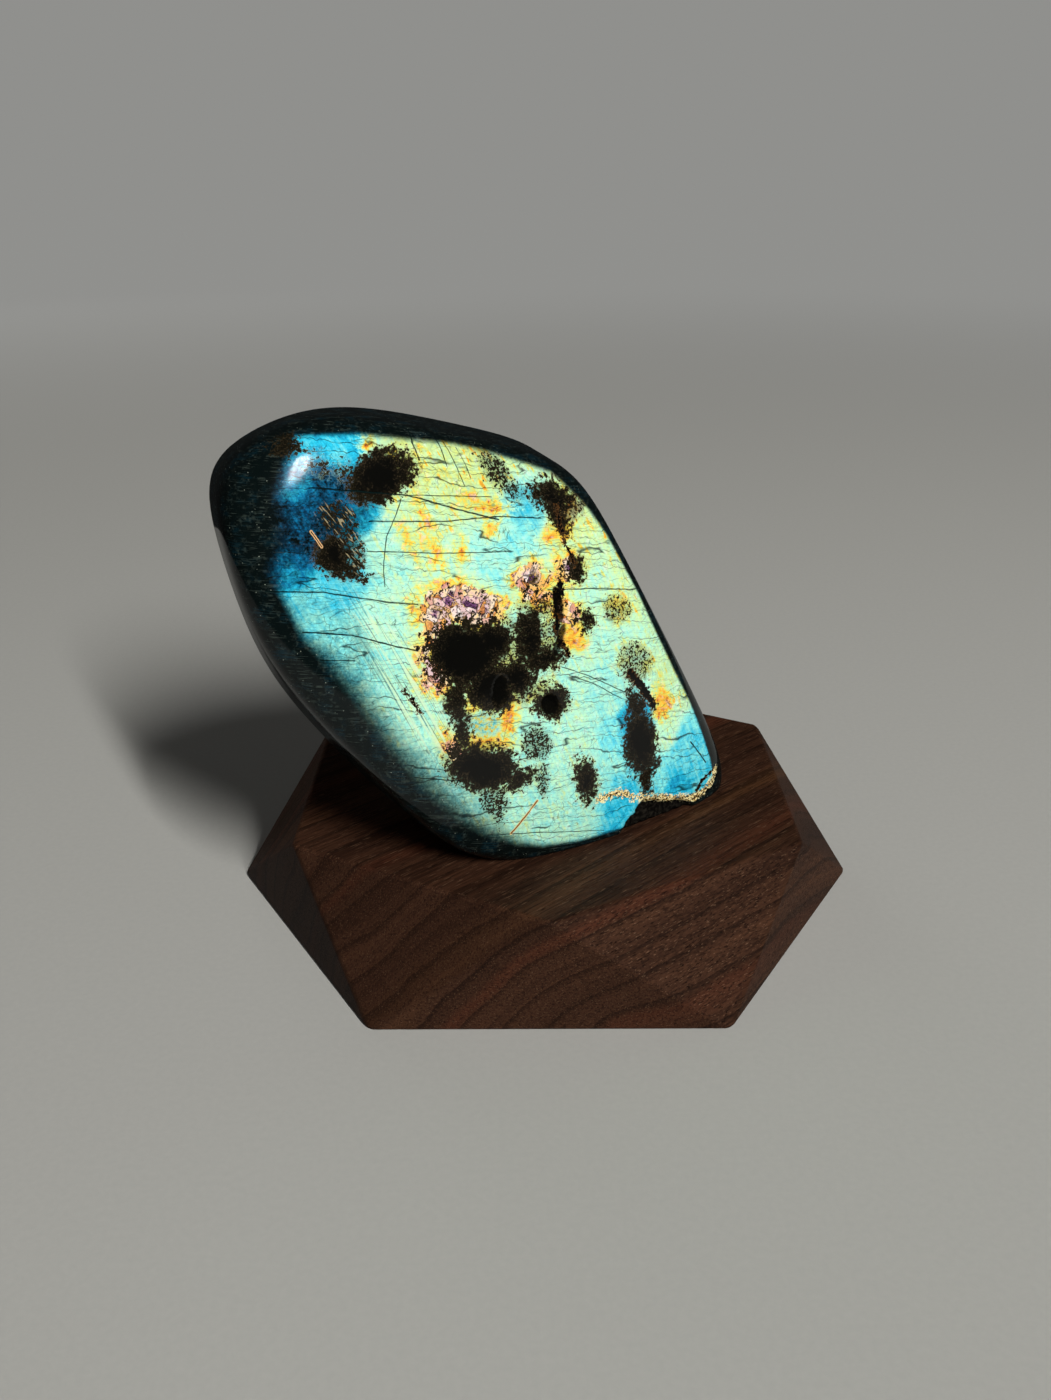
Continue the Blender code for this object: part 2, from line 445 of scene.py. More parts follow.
ZONES = (
    Zone("sky_top_left", 0.35, 1.00, -26.3, 33.8, 4.0),
    Zone("under_highlight", 0.30, 0.62, -32.5, 29.6, 3.0),
    Zone("deep_blue", 0.20, 0.42, -28.0, 27.1, 4.0),
    Zone("deep_blue_low", 0.15, 0.36, -32.2, 22.2, 4.2),
    Zone("blue_by_needles", 0.30, 0.60, -23.9, 23.1, 3.3),
    Zone("sky_left", 0.40, 0.90, -28.9, 13.9, 4.3),
    Zone("blue_left", 0.28, 0.56, -34.6, 17.0, 3.3),
    Zone("sky_lower_left", 0.47, 0.80, -32.9, 10.6, 4.0),
    Zone("teal_left", 0.50, 0.70, -29.0, 4.8, 4.0),
    Zone("aqua_by_twins", 0.59, 1.00, -20.5, 8.7, 4.7),
    Zone("mint_upper", 0.60, 0.95, -20.1, 20.1, 4.0),
    Zone("aqua_middle", 0.53, 1.00, -2.8, 15.8, 3.6),
    Zone("yellow_green_top", 0.75, 0.92, -10.9, 29.2, 6.0),
    Zone("yellow_green_low", 0.69, 0.97, -13.7, 22.4, 4.7),
    Zone("mint_centre", 0.62, 1.00, -10.8, 14.6, 4.0),
    Zone("blue_patch", 0.41, 0.90, 2.2, 21.2, 1.9),
    Zone("yellow_green_right", 0.72, 0.97, 16.2, 16.1, 4.0),
    Zone("pale_green_right", 0.70, 1.00, 21.0, 7.4, 4.0),
    Zone("mint_right", 0.62, 1.00, 15.4, 5.0, 4.0),
    Zone("aqua_right", 0.59, 0.97, 11.9, -3.6, 4.7),
    Zone("green_rim_right", 0.70, 0.95, 31.5, -12.1, 3.3),
    Zone("cyan_right", 0.54, 0.95, 15.7, -11.5, 3.7),
    Zone("blue_by_dark", 0.30, 0.92, 19.9, -16.6, 2.6),
    Zone("cyan_by_dark", 0.50, 1.00, 15.9, -17.4, 2.7),
    Zone("mint_strip", 0.62, 1.00, 29.0, -20.6, 2.0),
    Zone("sky_lower_right", 0.42, 0.98, 35.0, -24.0, 3.4),
    Zone("blue_foot_right", 0.34, 0.95, 30.6, -31.4, 2.2),
    Zone("aqua_foot", 0.46, 1.00, 26.6, -29.1, 2.0),
    Zone("aqua_low", 0.59, 0.97, 7.9, -15.8, 4.7),
    Zone("mint_low", 0.58, 0.93, 5.5, -28.9, 5.3),
    Zone("sky_tongue", 0.36, 0.95, 18.1, -31.7, 2.7),
    Zone("aqua_lower_left", 0.58, 0.95, -17.7, -7.0, 4.7),
    Zone("teal_lower_left", 0.56, 0.75, -16.1, -17.6, 4.0),
    Zone("mint_foot", 0.60, 0.90, -2.4, -30.7, 4.0),
)

MARKS = (
    Mark("upper_long_crack", ((-30.3, 28.4), (-23.3, 27.1), (-16.0, 25.7), (-8.5, 22.7), (-1.8, 20.3)), 0.13),
    Mark("upper_straight_crack", ((-22.4, 22.7), (-11.0, 21.2), (-2.3, 20.8), (5.6, 19.5)), 0.10),
    Mark("short_crack_above", ((-18.1, 26.0), (-2.5, 23.8)), 0.07),
    Mark("middle_crack", ((-23.3, 18.5), (-12.8, 16.7), (-1.2, 15.3)), 0.08),
    Mark("left_crack", ((-38.5, 14.7), (-30.5, 13.5), (-21.3, 10.7), (-16.5, 9.6)), 0.11),
    Mark("left_lower_crack", ((-34.2, 8.2), (-27.2, 6.7), (-20.0, 3.6), (-17.3, 2.6)), 0.13),
    Mark("left_low_short", ((-32.7, 3.8), (-27.1, 2.8)), 0.08),
    Mark("right_crack", ((5.6, 8.3), (12.8, 7.3), (23.4, 5.3)), 0.09),
    Mark("right_curved_crack", ((7.1, -4.4), (12.4, -7.0), (19.3, -11.2)), 0.08),
    Mark("right_curved_crack_low", ((8.4, -6.1), (13.0, -8.3), (18.6, -12.2)), 0.07),
    Mark("lower_crack", ((-19.5, -17.2), (-12.1, -19.3)), 0.09),
    Mark("foot_crack", ((-7.4, -30.0), (0.9, -31.7), (15.0, -35.2)), 0.07),
    Mark("upright_crack", ((-17.1, 25.3), (-18.0, 23.4), (-20.1, 20.1), (-21.1, 16.1), (-21.3, 13.0)), 0.08),
    Mark("top_stroke_1", ((-13.0, 35.3), (-13.6, 33.0), (-13.2, 30.4)), 0.12),
    Mark("top_stroke_2", ((-9.4, 33.0), (-9.0, 29.2)), 0.08),
    Mark("top_stroke_3", ((-8.4, 32.5), (-6.7, 25.9)), 0.07),
    Mark("top_stroke_4", ((-6.6, 31.5), (-5.5, 27.0)), 0.06),
    # The crevice is a hollow in the mesh too: the black drawn along it is painted shade in the hollow
    Mark("crevice", ((8.1, 8.9), (7.5, 6.3), (6.6, 2.0)), 0.75, Ink.BLACK),
    Mark("crevice_foot", ((6.6, 2.0), (7.2, -0.1), (8.6, -2.8)), 0.32, Ink.BLACK),
    Mark("right_crack_tail", ((8.6, 21.0), (9.0, 17.7), (9.7, 14.9), (10.9, 11.6)), 0.24, Ink.BLACK),
    Mark("right_diagonal", ((20.6, -8.2), (23.1, -11.3), (25.4, -15.0)), 0.85, Ink.BLACK),
    Mark("left_mark", ((-20.0, -3.1), (-19.0, -4.7), (-18.1, -6.8)), 0.24, Ink.BLACK),
    Mark("corner_diagonal", ((34.2, -23.8), (36.1, -26.1), (38.4, -28.9)), 0.16),
    Mark("corner_foot", ((40.7, -31.3), (37.6, -32.0), (36.3, -33.6)), 0.30, Ink.BLACK),
    Mark("lath_tall", ((-10.2, 9.2), (-8.6, 6.6)), 0.38, Ink.PALE),
    Mark("lath_left", ((-12.6, 8.0), (-11.9, 6.2)), 0.26, Ink.PALE),
    Mark("lath_right", ((-5.4, 9.3), (-5.0, 7.2)), 0.26, Ink.PALE),
    Mark("lath_low_left", ((-15.9, 0.8), (-15.5, -1.6)), 0.30, Ink.PALE),
    Mark("foot_line", ((1.5, -26.1), (-0.8, -28.4), (-3.3, -30.7)), 0.15, Ink.BROWN),
    Mark("orange_needle", ((-31.0, 22.3), (-29.8, 20.0)), 0.09, Ink.NEEDLE),
)

# The edge of the flash round the face: x, y and how wide the flash fades there
FLASH_EDGE = (
    (-30.4, 35.6, 0.7), (-21.5, 34.9, 0.9), (-15.3, 33.6, 0.9), (-6.8, 32.0, 0.8),
    (-1.2, 30.2, 0.8), (5.0, 27.7, 0.8), (9.2, 25.9, 0.8), (11.7, 23.2, 0.8),
    (15.1, 19.5, 0.7), (18.2, 15.2, 0.6), (21.1, 9.9, 0.5), (24.0, 4.4, 0.5),
    (27.1, -2.6, 0.5), (31.0, -10.4, 0.5), (34.6, -16.9, 0.5), (37.3, -22.8, 0.4),
    (39.5, -28.1, 0.3), (41.0, -32.4, 0.3), (39.6, -33.9, 0.3), (32.3, -34.0, 0.3),
    (23.1, -31.0, 0.3), (22.4, -33.2, 0.5), (19.5, -35.8, 0.6), (10.0, -35.7, 0.8),
    (3.1, -34.6, 1.2), (-1.6, -32.5, 2.0), (-6.7, -28.3, 4.0), (-11.1, -24.1, 5.0),
    (-16.2, -18.1, 5.0), (-20.7, -11.4, 4.5), (-24.0, -5.7, 4.5), (-26.4, -1.5, 4.3),
    (-29.9, 3.4, 3.5), (-33.8, 7.7, 2.0), (-35.1, 10.9, 1.5), (-36.3, 14.2, 1.5),
    (-36.7, 17.2, 3.0), (-34.7, 21.0, 3.5), (-34.8, 24.5, 3.0), (-34.4, 27.9, 2.5),
    (-32.8, 31.8, 1.5),
)
TWIN_TURN = -66.0
CRACK_TURN = -9.5


@dataclass(frozen=True)
class FacePattern:
    """Turns the listed features of the face into values that the mesh stores."""

    outline_wander: float = 0.75
    outline_grain: float = 3.1
    fine_wander: float = 0.35
    fine_grain: float = 1.1
    zone_power: float = 3.0
    far: float = -9.0

    def wander(self, x: Array, y: Array) -> tuple[Array, Array]:
        """Return places moved a little, so that outlines wander as in nature."""
        moved = np.zeros((len(x), 2))
        for row, (right, up) in enumerate(zip(x, y)):
            slow = noise.noise_vector(Vector((right, up, 3.7)) / self.outline_grain)
            fast = noise.noise_vector(Vector((right, up, 9.1)) / self.fine_grain)
            moved[row, 0] = self.outline_wander * slow.x + self.fine_wander * fast.x
            moved[row, 1] = self.outline_wander * slow.y + self.fine_wander * fast.y
        return x + moved[:, 0], y + moved[:, 1]

    def inside(self, look: Look, x: Array, y: Array) -> Array:
        """Return how far inside the nearest blotch of one look places lie."""
        deepest = np.full(len(x), self.far)
        for blotch in BLOTCHES:
            if blotch.look is look:
                deepest = np.maximum(deepest, blotch.inside(x, y))
        return deepest

    def flash_edge(self, x: Array, y: Array) -> Array:
        """Return the strength of the flash: 1 within its edge, fading to 0 outside."""
        nearest = np.full(len(x), 1e9)
        fade = np.ones(len(x))
        within = np.zeros(len(x), dtype=bool)
        for start, end in zip(FLASH_EDGE, FLASH_EDGE[1:] + FLASH_EDGE[:1]):
            dx, dy = end[0] - start[0], end[1] - start[1]
            along = np.clip(((x - start[0]) * dx + (y - start[1]) * dy) / (dx * dx + dy * dy), 0, 1)
            away = np.hypot(x - start[0] - along * dx, y - start[1] - along * dy)
            closer = away < nearest
            nearest = np.where(closer, away, nearest)
            fade = np.where(closer, start[2] + along * (end[2] - start[2]), fade)
            if dy:
                crossed = (start[1] > y) != (end[1] > y)
                within ^= crossed & (x < start[0] + (y - start[1]) * dx / dy)
        signed = np.where(within, nearest, -nearest)
        return eased(0.5 + 0.5 * signed / fade)

    def flash(self, x: Array, y: Array) -> tuple[Array, Array]:
        """Return the hue of the flash and its glow, blended between the zones."""
        total, hue, glow = np.zeros(len(x)), np.zeros(len(x)), np.zeros(len(x))
        for zone in ZONES:
            away = ((x - zone.x) ** 2 + (y - zone.y) ** 2) / zone.reach**2
            weight = (away + 0.15) ** -self.zone_power
            total += weight
            hue += weight * zone.hue
            glow += weight * zone.glow
        return hue / total, glow / total

    def fields(self, points: Array, facing: Array) -> dict[str, Array]:
        """Return every value that the stone's finish reads from the mesh.

        Args:
            points: Places on the stone, seen from its face.
            facing: How far each place faces the way the face does, -1 to 1.

        Returns:
            One value for each place, under each name.
        """
        x, y = points[:, 0], points[:, 1]
        moved_x, moved_y = self.wander(x, y)
        # Front keeps the face's pattern on the face, and fades the painted reflection of the flash where the
        # surface turns away from the face
        front = eased((facing - 0.15) / 0.35)
        hue, glow = self.flash(moved_x, moved_y)
        values = {"back": eased((-facing - 0.1) / 0.5), "front": front, "hue": hue,
                  "glow": glow, "flash": self.flash_edge(x, y) * front}
        for look in Look:
            values[look.name.lower()] = self.inside(look, moved_x, moved_y)
        return values


# The colours of the flash, a painted reflection, from deep blue through green and gold to burnt orange
FLASH_RAMP = (
    (0.00, shade(8, 28, 48)), (0.12, shade(14, 68, 104)), (0.24, shade(14, 130, 184)),
    (0.36, shade(44, 200, 234)), (0.48, shade(134, 234, 232)), (0.60, shade(182, 244, 216)),
    (0.70, shade(202, 243, 186)), (0.79, shade(218, 234, 134)), (0.86, shade(246, 220, 84)),
    (0.92, shade(247, 186, 62)), (0.97, shade(228, 136, 48)), (1.00, shade(164, 84, 42)),
)
CRYSTAL_EDGE_RAMP = (
    (0.00, shade(226, 138, 66)), (0.30, shade(252, 208, 112)), (0.55, shade(250, 232, 204)),
    (0.80, shade(216, 152, 142)), (1.00, shade(250, 196, 96)),
)
CRYSTAL_RAMP = (
    (0.00, shade(40, 26, 22)), (0.12, shade(196, 124, 76)), (0.24, shade(248, 212, 138)),
    (0.36, shade(246, 230, 224)), (0.46, shade(220, 172, 178)), (0.54, shade(112, 70, 116)),
    (0.62, shade(30, 22, 24)), (0.72, shade(232, 186, 118)), (0.86, shade(206, 152, 158)),
    (1.00, shade(250, 238, 234)),
)
OLIVE_RAMP = (
    (0.38, shade(52, 44, 24)), (0.46, shade(150, 130, 62)), (0.53, shade(228, 220, 126)),
    (0.61, shade(196, 238, 188)),
)
LIP_RAMP = (
    (0.40, shade(24, 15, 9)), (0.47, shade(158, 104, 38)), (0.55, shade(230, 184, 74)),
    (0.66, shade(248, 240, 186)),
)


class Grain(NamedTuple):
    """The places and the noises that every part of the stone's colour reads."""

    place: Wire
    bent: Wire
    flat: Wire
    torn: Wire
    fine: Wire
    speckle: Wire
    cloud: Wire
    patchy: Wire
    strand: Wire


@dataclass(frozen=True)
class LabradoriteFinish:
    """The polished stone: dark feldspar, its flash as a painted reflection, its inclusions and its cracks."""

    name: str = "polished_labradorite"
    body: Colour = shade(8, 16, 16)
    body_light: Colour = shade(60, 70, 64)
    body_blue: Colour = shade(8, 34, 42)
    body_back: Colour = shade(62, 70, 66)
    # The black of the masses' core, also painted as shade in the pits and the crevice
    core_and_pit_shade: Colour = shade(10, 10, 8)
    core_light: Colour = shade(52, 44, 32)
    mass_rim: Colour = shade(96, 64, 34)
    speckled: Colour = shade(92, 118, 96)
    olive_dark: Colour = shade(26, 23, 14)
    crack: Colour = shade(10, 26, 26)
    matrix: Colour = shade(38, 35, 30)
    matrix_dark: Colour = shade(10, 9, 8)
    needle: Colour = shade(190, 176, 136)
    lath_pale: Colour = shade(226, 196, 198)
    needle_orange: Colour = shade(222, 178, 128)
    brown: Colour = shade(112, 66, 34)
    stroke_pale: Colour = shade(230, 204, 140)
    speck: Colour = shade(150, 160, 146)
    pale: Colour = shade(232, 247, 230)
    twin_pale: Colour = shade(216, 246, 206)
    mark_softness: float = 0.05
    halo_hue: float = 0.95
    window_hue: float = 0.68
    polish: float = 0.10
    gloss: float = 0.42
    index: float = 1.56

    def grain(self, bench: Bench) -> Grain:
        """Return the noises, from patches of a few millimetres down to specks of 0.2 mm.

        Args:
            bench: The bench of the stone's finish.

        Returns:
            The places and the noises.
        """
        place = bench.attribute("face_place", "Vector")
        wobble = bench.node("ShaderNodeTexNoise", {}, {"Vector": place, "Scale": 0.55, "Detail": 2.0},
                            output="Color")
        sway = bench.vector("SUBTRACT", wobble, (0.5, 0.5, 0.5))
        flat = bench.vector("MULTIPLY_ADD", sway, (0.28, 0.28, 0.28), place)
        tear = bench.node("ShaderNodeTexNoise", {}, {"Vector": place, "Scale": 1.8, "Detail": 1.0},
                          output="Color")
        return Grain(
            place=place,
            torn=bench.vector("SUBTRACT", tear, (0.5, 0.5, 0.5)),
            bent=bench.vector("MULTIPLY_ADD", sway, (1.3, 1.3, 1.3), place),
            flat=bench.vector("MULTIPLY", flat, (1.0, 1.0, 0.0)),
            fine=bench.noise(place, 3.0, 0.62, scale=1.5),
            speckle=bench.noise(place, 2.0, 0.6, scale=3.0),
            cloud=bench.noise(place, 3.0, 0.6, scale=0.85),
            patchy=bench.noise(place, 2.0, 0.55, scale=0.30),
            strand=bench.noise(bench.laid(place, CRACK_TURN, (5.0, 0.22, 2.0)), 2.0, 0.6),
        )

    def mark_gap(self, bench: Bench, place: Wire, ink: Ink, swell: Wire) -> Wire:
        """Return how far beyond the edge of the nearest thin mark this is.

        Args:
            bench: The bench of the stone's finish.
            place: The place on the face, already bent a little and without depth.
            ink: The ink of the marks to measure.
            swell: How much wider or thinner a mark is here.

        Returns:
            The distance in millimetres, below 0 on a mark.
        """
        gap = None
        for mark in MARKS:
            if mark.ink is not ink:
                continue
            nearest = None
            for start, end in zip(mark.path, mark.path[1:]):
                run = (end[0] - start[0], end[1] - start[1], 0.0)
                square = run[0] ** 2 + run[1] ** 2
                from_start = bench.vector("SUBTRACT", place, (*start, 0.0))
                share = bench.vector("DOT_PRODUCT", from_start, [part / square for part in run],
                                     output="Value").most(0.0).least(1.0)
                foot = bench.node("ShaderNodeVectorMath", {"operation": "SCALE"},
                                  {0: run, "Scale": share})
                away = bench.vector("DISTANCE", from_start, foot, output="Value")
                nearest = away if nearest is None else nearest.least(away)
            beyond = nearest - swell * mark.half_width
            gap = beyond if gap is None else gap.least(beyond)
        return gap

    def edges(self, bench: Bench, grain: Grain) -> dict[Look, Wire]:
        """Return how far inside its ragged edge each kind of blotch is, in millimetres.

        Args:
            bench: The bench of the stone's finish.
            grain: The shared noises.

        Returns:
            The distance for each look, below 0 outside.
        """
        rag = (grain.cloud - 0.5) * 3.0 + (grain.fine - 0.5) * 1.6
        return {look: bench.attribute(look.name.lower()) + rag for look in Look}

    def body_colour(self, bench: Bench, grain: Grain) -> Wire:
        """Return the dark feldspar, with faint clouds and a few tiny specks.

        Args:
            bench: The bench of the stone's finish.
            grain: The shared noises.

        Returns:
            The colour where nothing flashes.
        """
        light = grain.fine.rise(0.50, 0.74) * grain.patchy.rise(0.40, 0.60)
        ground = bench.mix(self.body, self.body_back, bench.attribute("back"))
        body = bench.mix(ground, self.body_light, light * 0.8)
        body = bench.mix(body, self.body_light, grain.strand.rise(0.53, 0.68) * grain.cloud.rise(0.42, 0.58) * 0.6)
        blue = grain.patchy.rise(0.46, 0.66) * grain.strand.rise(0.35, 0.65)
        body = bench.mix(body, self.body_blue, blue * 0.9)
        dots = bench.cells(grain.place, scale=1.35, output="Distance", deep=True).rise(0.14, 0.05)
        return bench.mix(body, self.speck, dots * grain.cloud.rise(0.46, 0.60) * 0.8)

    def flash_colour(self, bench: Bench, grain: Grain, edges: dict[Look, Wire]) -> Wire:
        """Return the flash, a painted reflection: blue to green to gold, with streaks and a gold halo round
        blotches.

        Args:
            bench: The bench of the stone's finish.
            grain: The shared noises.
            edges: How far inside each kind of blotch this is.

        Returns:
            The colour of the flash at its strongest.
        """
        drift = bench.noise(bench.laid(grain.place, 20, (3.4, 2.4, 3.0)), 4.0, 0.62, deep=False)
        streak = bench.noise(bench.laid(grain.place, TWIN_TURN, (7.0, 0.55, 3.0)), 2.0, 0.6, deep=False)
        fleck = bench.noise(bench.laid(grain.place, TWIN_TURN, (2.6, 0.9, 2.0), (5, 3, 0)), 2.0, 0.6,
                            deep=False)
        hue = bench.attribute("hue")
        warm = hue.rise(0.46, 0.66)
        hue = hue + (drift - 0.5) * 0.26 + (streak - 0.5) * 0.18 + (grain.fine - 0.5) * 0.14
        hue = hue + fleck.rise(0.56, 0.74) * warm * 0.18
        hue = hue - (1.0 - bench.attribute("flash")) * 0.06
        halo = edges[Look.CRYSTAL].rise(-2.3, 0.2).most(edges[Look.MASS].rise(-1.6, 0.3) * warm * 0.75)
        halo = halo.most(edges[Look.OLIVE].rise(-1.4, 0.5) * warm * 0.72)
        patches = grain.patchy.rise(0.36, 0.60)
        halo = (halo * (0.40 + patches * 0.62)).most(edges[Look.GOLD].rise(-1.4, 0.8) * (0.80 + patches * 0.22))
        gold = self.halo_hue - 0.02 + (grain.fine - 0.5) * 0.35 + (grain.cloud - 0.5) * 0.30
        hue = hue + (gold - hue) * halo
        window = edges[Look.GREEN].rise(-0.4, 0.6)
        hue = hue + (self.window_hue + (grain.fine - 0.5) * 1.7 - hue) * window
        colour = bench.ramp(hue, FLASH_RAMP)
        colour = bench.mix(colour, self.pale, grain.cloud.rise(0.54, 0.70) * warm * 0.5)
        light = 0.58 + grain.strand * 0.42 + grain.fine * 0.46 - window * 0.18
        light = light - grain.speckle.rise(0.38, 0.28) * 0.22
        light = bench.node("ShaderNodeCombineColor", {}, {0: light, 1: light, 2: light})
        return bench.mix(colour, light, 1.0, "MULTIPLY")

    @staticmethod
    def crack_rows(bench: Bench, place: Wire, turn: float, spacing: float, wander: Sequence[float]) -> Wire:
        """Return a value that steps by 1 from crack to crack in a row of near parallel cracks.

        Args:
            bench: The bench of the stone's finish.
            place: The place in the stone.
            turn: How far the cracks are turned, in degrees.
            spacing: How far apart they are, in millimetres.
            wander: The length, width and depth over which they wander.

        Returns:
            The value, whose whole steps are the cracks.
        """
        angle = math.radians(turn)
        rows = (-math.sin(angle) / spacing, math.cos(angle) / spacing, 0.0)
        across = bench.vector("DOT_PRODUCT", place, rows, output="Value")
        return across + bench.noise(bench.laid(place, turn, wander), 1.0, 0.5, deep=False) * 2.4

    def fine_cracks(self, bench: Bench, grain: Grain) -> Wire:
        """Return the many fine cracks that run across the face, and the crackle between them.

        Args:
            bench: The bench of the stone's finish.
            grain: The shared noises.

        Returns:
            1 on the cracks, 0 beside them.
        """
        bent = grain.bent
        level = self.crack_rows(bench, bent, CRACK_TURN, 2.7, (22.0, 2.6, 6.0))
        hair = self.crack_rows(bench, bent, CRACK_TURN + 5, 1.25, (7.0, 1.3, 4.0))
        upright = bench.noise(bench.laid(bent, 76, (3.0, 0.9, 3.0), (2, 8, 5)), 1.0, 0.4, deep=False)
        where = bench.noise(bench.laid(grain.place, 0, (7.0, 4.0, 6.0), (4, 4, 4)), 2.0, 0.5, deep=False)
        crackle = bench.cells(bench.laid(bent, CRACK_TURN, (1.9, 1.2, 3.0)), "DISTANCE_TO_EDGE",
                              output="Distance")
        strong = level.lines(1.0, 0.058) * where.rise(0.26, 0.48)
        thin = hair.lines(1.0, 0.075) * (1.0 - where).rise(0.36, 0.58) * 0.65
        short = upright.lines(3.0, 0.035) * where.rise(0.52, 0.64) * 0.7
        crackle = crackle.rise(0.045, 0.0) * grain.patchy.rise(0.48, 0.62) * 0.75
        return strong.most(thin).most(short).most(crackle)

    def flash_strength(self, bench: Bench, grain: Grain) -> Wire:
        """Return how much of the flash shows: it fades at its edge and is mottled where it is dim.

        Args:
            bench: The bench of the stone's finish.
            grain: The shared noises.

        Returns:
            The strength, 0 to 1.
        """
        strength, glow = bench.attribute("flash"), bench.attribute("glow")
        lit = strength + (grain.fine - 0.5) * (strength * (1.0 - strength)) * 1.3
        mottled = (grain.speckle - 0.5) * 0.8 + (grain.cloud - 0.5) * 1.5 + (grain.patchy - 0.5) * 0.8
        return (lit.rise(0.05, 0.95) * (glow + mottled * (1.0 - glow) * 2.4)).most(0.0).least(1.0)

    def crystal_colour(self, bench: Bench, grain: Grain, depth: Wire) -> Wire:
        """Return the crystals: laths in two directions with dark seams between them.

        Args:
            bench: The bench of the stone's finish.
            grain: The shared noises.
            depth: How far inside the crystals this is, in millimetres.

        Returns:
            The colour of the crystals.
        """
        lean = bench.node("ShaderNodeSeparateColor", {}, {0: bench.cells(grain.bent, scale=0.45)})
        lean = lean.rise(0.48, 0.52)
        long_laths = bench.laid(grain.bent, 66, (3.2, 1.15, 1.5))
        short_laths = bench.laid(grain.bent, -28, (1.7, 0.85, 1.2))
        pick = bench.mix(bench.cells(long_laths), bench.cells(short_laths), lean)
        pick = bench.node("ShaderNodeSeparateColor", {}, {0: pick})
        seams = [bench.cells(laths, "DISTANCE_TO_EDGE", output="Distance")
                 for laths in (long_laths, short_laths)]
        seam = seams[0] + (seams[1] - seams[0]) * lean
        pick = pick + (grain.speckle - 0.5) * 0.22 + (grain.fine - 0.5) * 0.22
        colour = bench.ramp(pick, CRYSTAL_RAMP)
        colour = bench.mix(colour, bench.ramp(pick, CRYSTAL_EDGE_RAMP), depth.rise(1.5, 0.5))
        return bench.mix(colour, self.core_and_pit_shade, seam.rise(0.09, 0.01) * 0.8)

    def with_inclusions(self, bench: Bench, grain: Grain, edges: dict[Look, Wire],
                        colour: Wire) -> Wire:
        """Return the colour with the inclusions in it, whose dark grains lie denser inwards.

        Args:
            bench: The bench of the stone's finish.
            grain: The shared noises.
            edges: How far inside each kind of blotch this is.
            colour: The colour so far.

        Returns:
            The colour with the inclusions.
        """
        mass, crystal, flash = edges[Look.MASS], edges[Look.CRYSTAL], bench.attribute("flash")
        olive = edges[Look.OLIVE].rise(-1.3, 0.9)
        brown = edges[Look.BROWN].rise(-0.8, 0.4)
        spots = edges[Look.SPECKLED].rise(-1.2, 0.6)
        needles = edges[Look.NEEDLES].rise(-0.8, 0.5)
        crystals = crystal.rise(-0.15, 0.15)
        ground = bench.ramp(0.5 + (grain.speckle - 0.5) * 1.1 + (grain.fine - 0.5) * 1.7, OLIVE_RAMP)
        for share, above in (
            ((olive * 0.38).most(mass.rise(-1.0, 0.0) * 0.95) * flash, ground),
            (brown * flash * 0.70, self.brown),
            (spots * 0.55, self.speckled),
            (needles * 0.75, self.body_blue),
            (crystals, self.crystal_colour(bench, grain, crystal)),
            (mass.rise(-1.5, -0.3) * grain.fine.rise(0.44, 0.54) * flash * 0.8, self.mass_rim),
        ):
            colour = bench.mix(colour, above, share)
        share = mass.rise(-1.6, 0.3) + mass.rise(-0.2, 0.9) * 0.6
        share = share.most(olive * 0.52).most(spots * 0.64).most(needles * 0.66)
        share = share.most(brown * 0.48)
        share = share.most(crystals * (0.26 + mass.rise(-2.8, -0.3) * 0.50 + (grain.cloud - 0.5) * 1.6))
        grit = ((grain.speckle - 0.5) * 2.4 + (grain.fine - 0.5) * 2.2) * (1.0 - crystals * 0.45)
        inner = bench.mix(self.olive_dark, self.core_and_pit_shade, mass.rise(-0.3, 1.5))
        pale_grit = grain.speckle.rise(0.53, 0.64) * mass.rise(2.0, 0.6)
        inner = bench.mix(inner, self.core_light, pale_grit * 0.8)
        colour = bench.mix(colour, inner, (share + grit * share.rise(0.0, 0.3)).rise(0.44, 0.58))
        laths = bench.noise(bench.laid(grain.place, -58, (1.5, 0.24, 2.0)), 1.0, 0.4, deep=False)
        return bench.mix(colour, self.needle, needles * laths.rise(0.63, 0.69) * 0.6)

    def make(self) -> bpy.types.Material:
        """Return the stone's material."""
        bench = Bench(self.name)
        grain = self.grain(bench)
        edges = self.edges(bench, grain)
        front, strength = bench.attribute("front"), bench.attribute("flash")

        # The flash, a painted reflection laid over the dark body, with the striations of the twins
        hair = self.fine_cracks(bench, grain)
        flash = bench.mix(self.flash_colour(bench, grain, edges), self.crack, hair * 0.90)
        twins = bench.noise(bench.laid(grain.place, TWIN_TURN, (60.0, 1.5, 30.0)), 2.0, 0.6, deep=False)
        band = bench.attribute("twins")
        flash = bench.mix(flash, self.crack, (twins + 0.05).lines(5.0, 0.12) * band * 0.6)
        flash = bench.mix(flash, self.twin_pale, twins.lines(5.0, 0.20) * band * 0.9)
        colour = bench.mix(self.body_colour(bench, grain), flash, self.flash_strength(bench, grain))

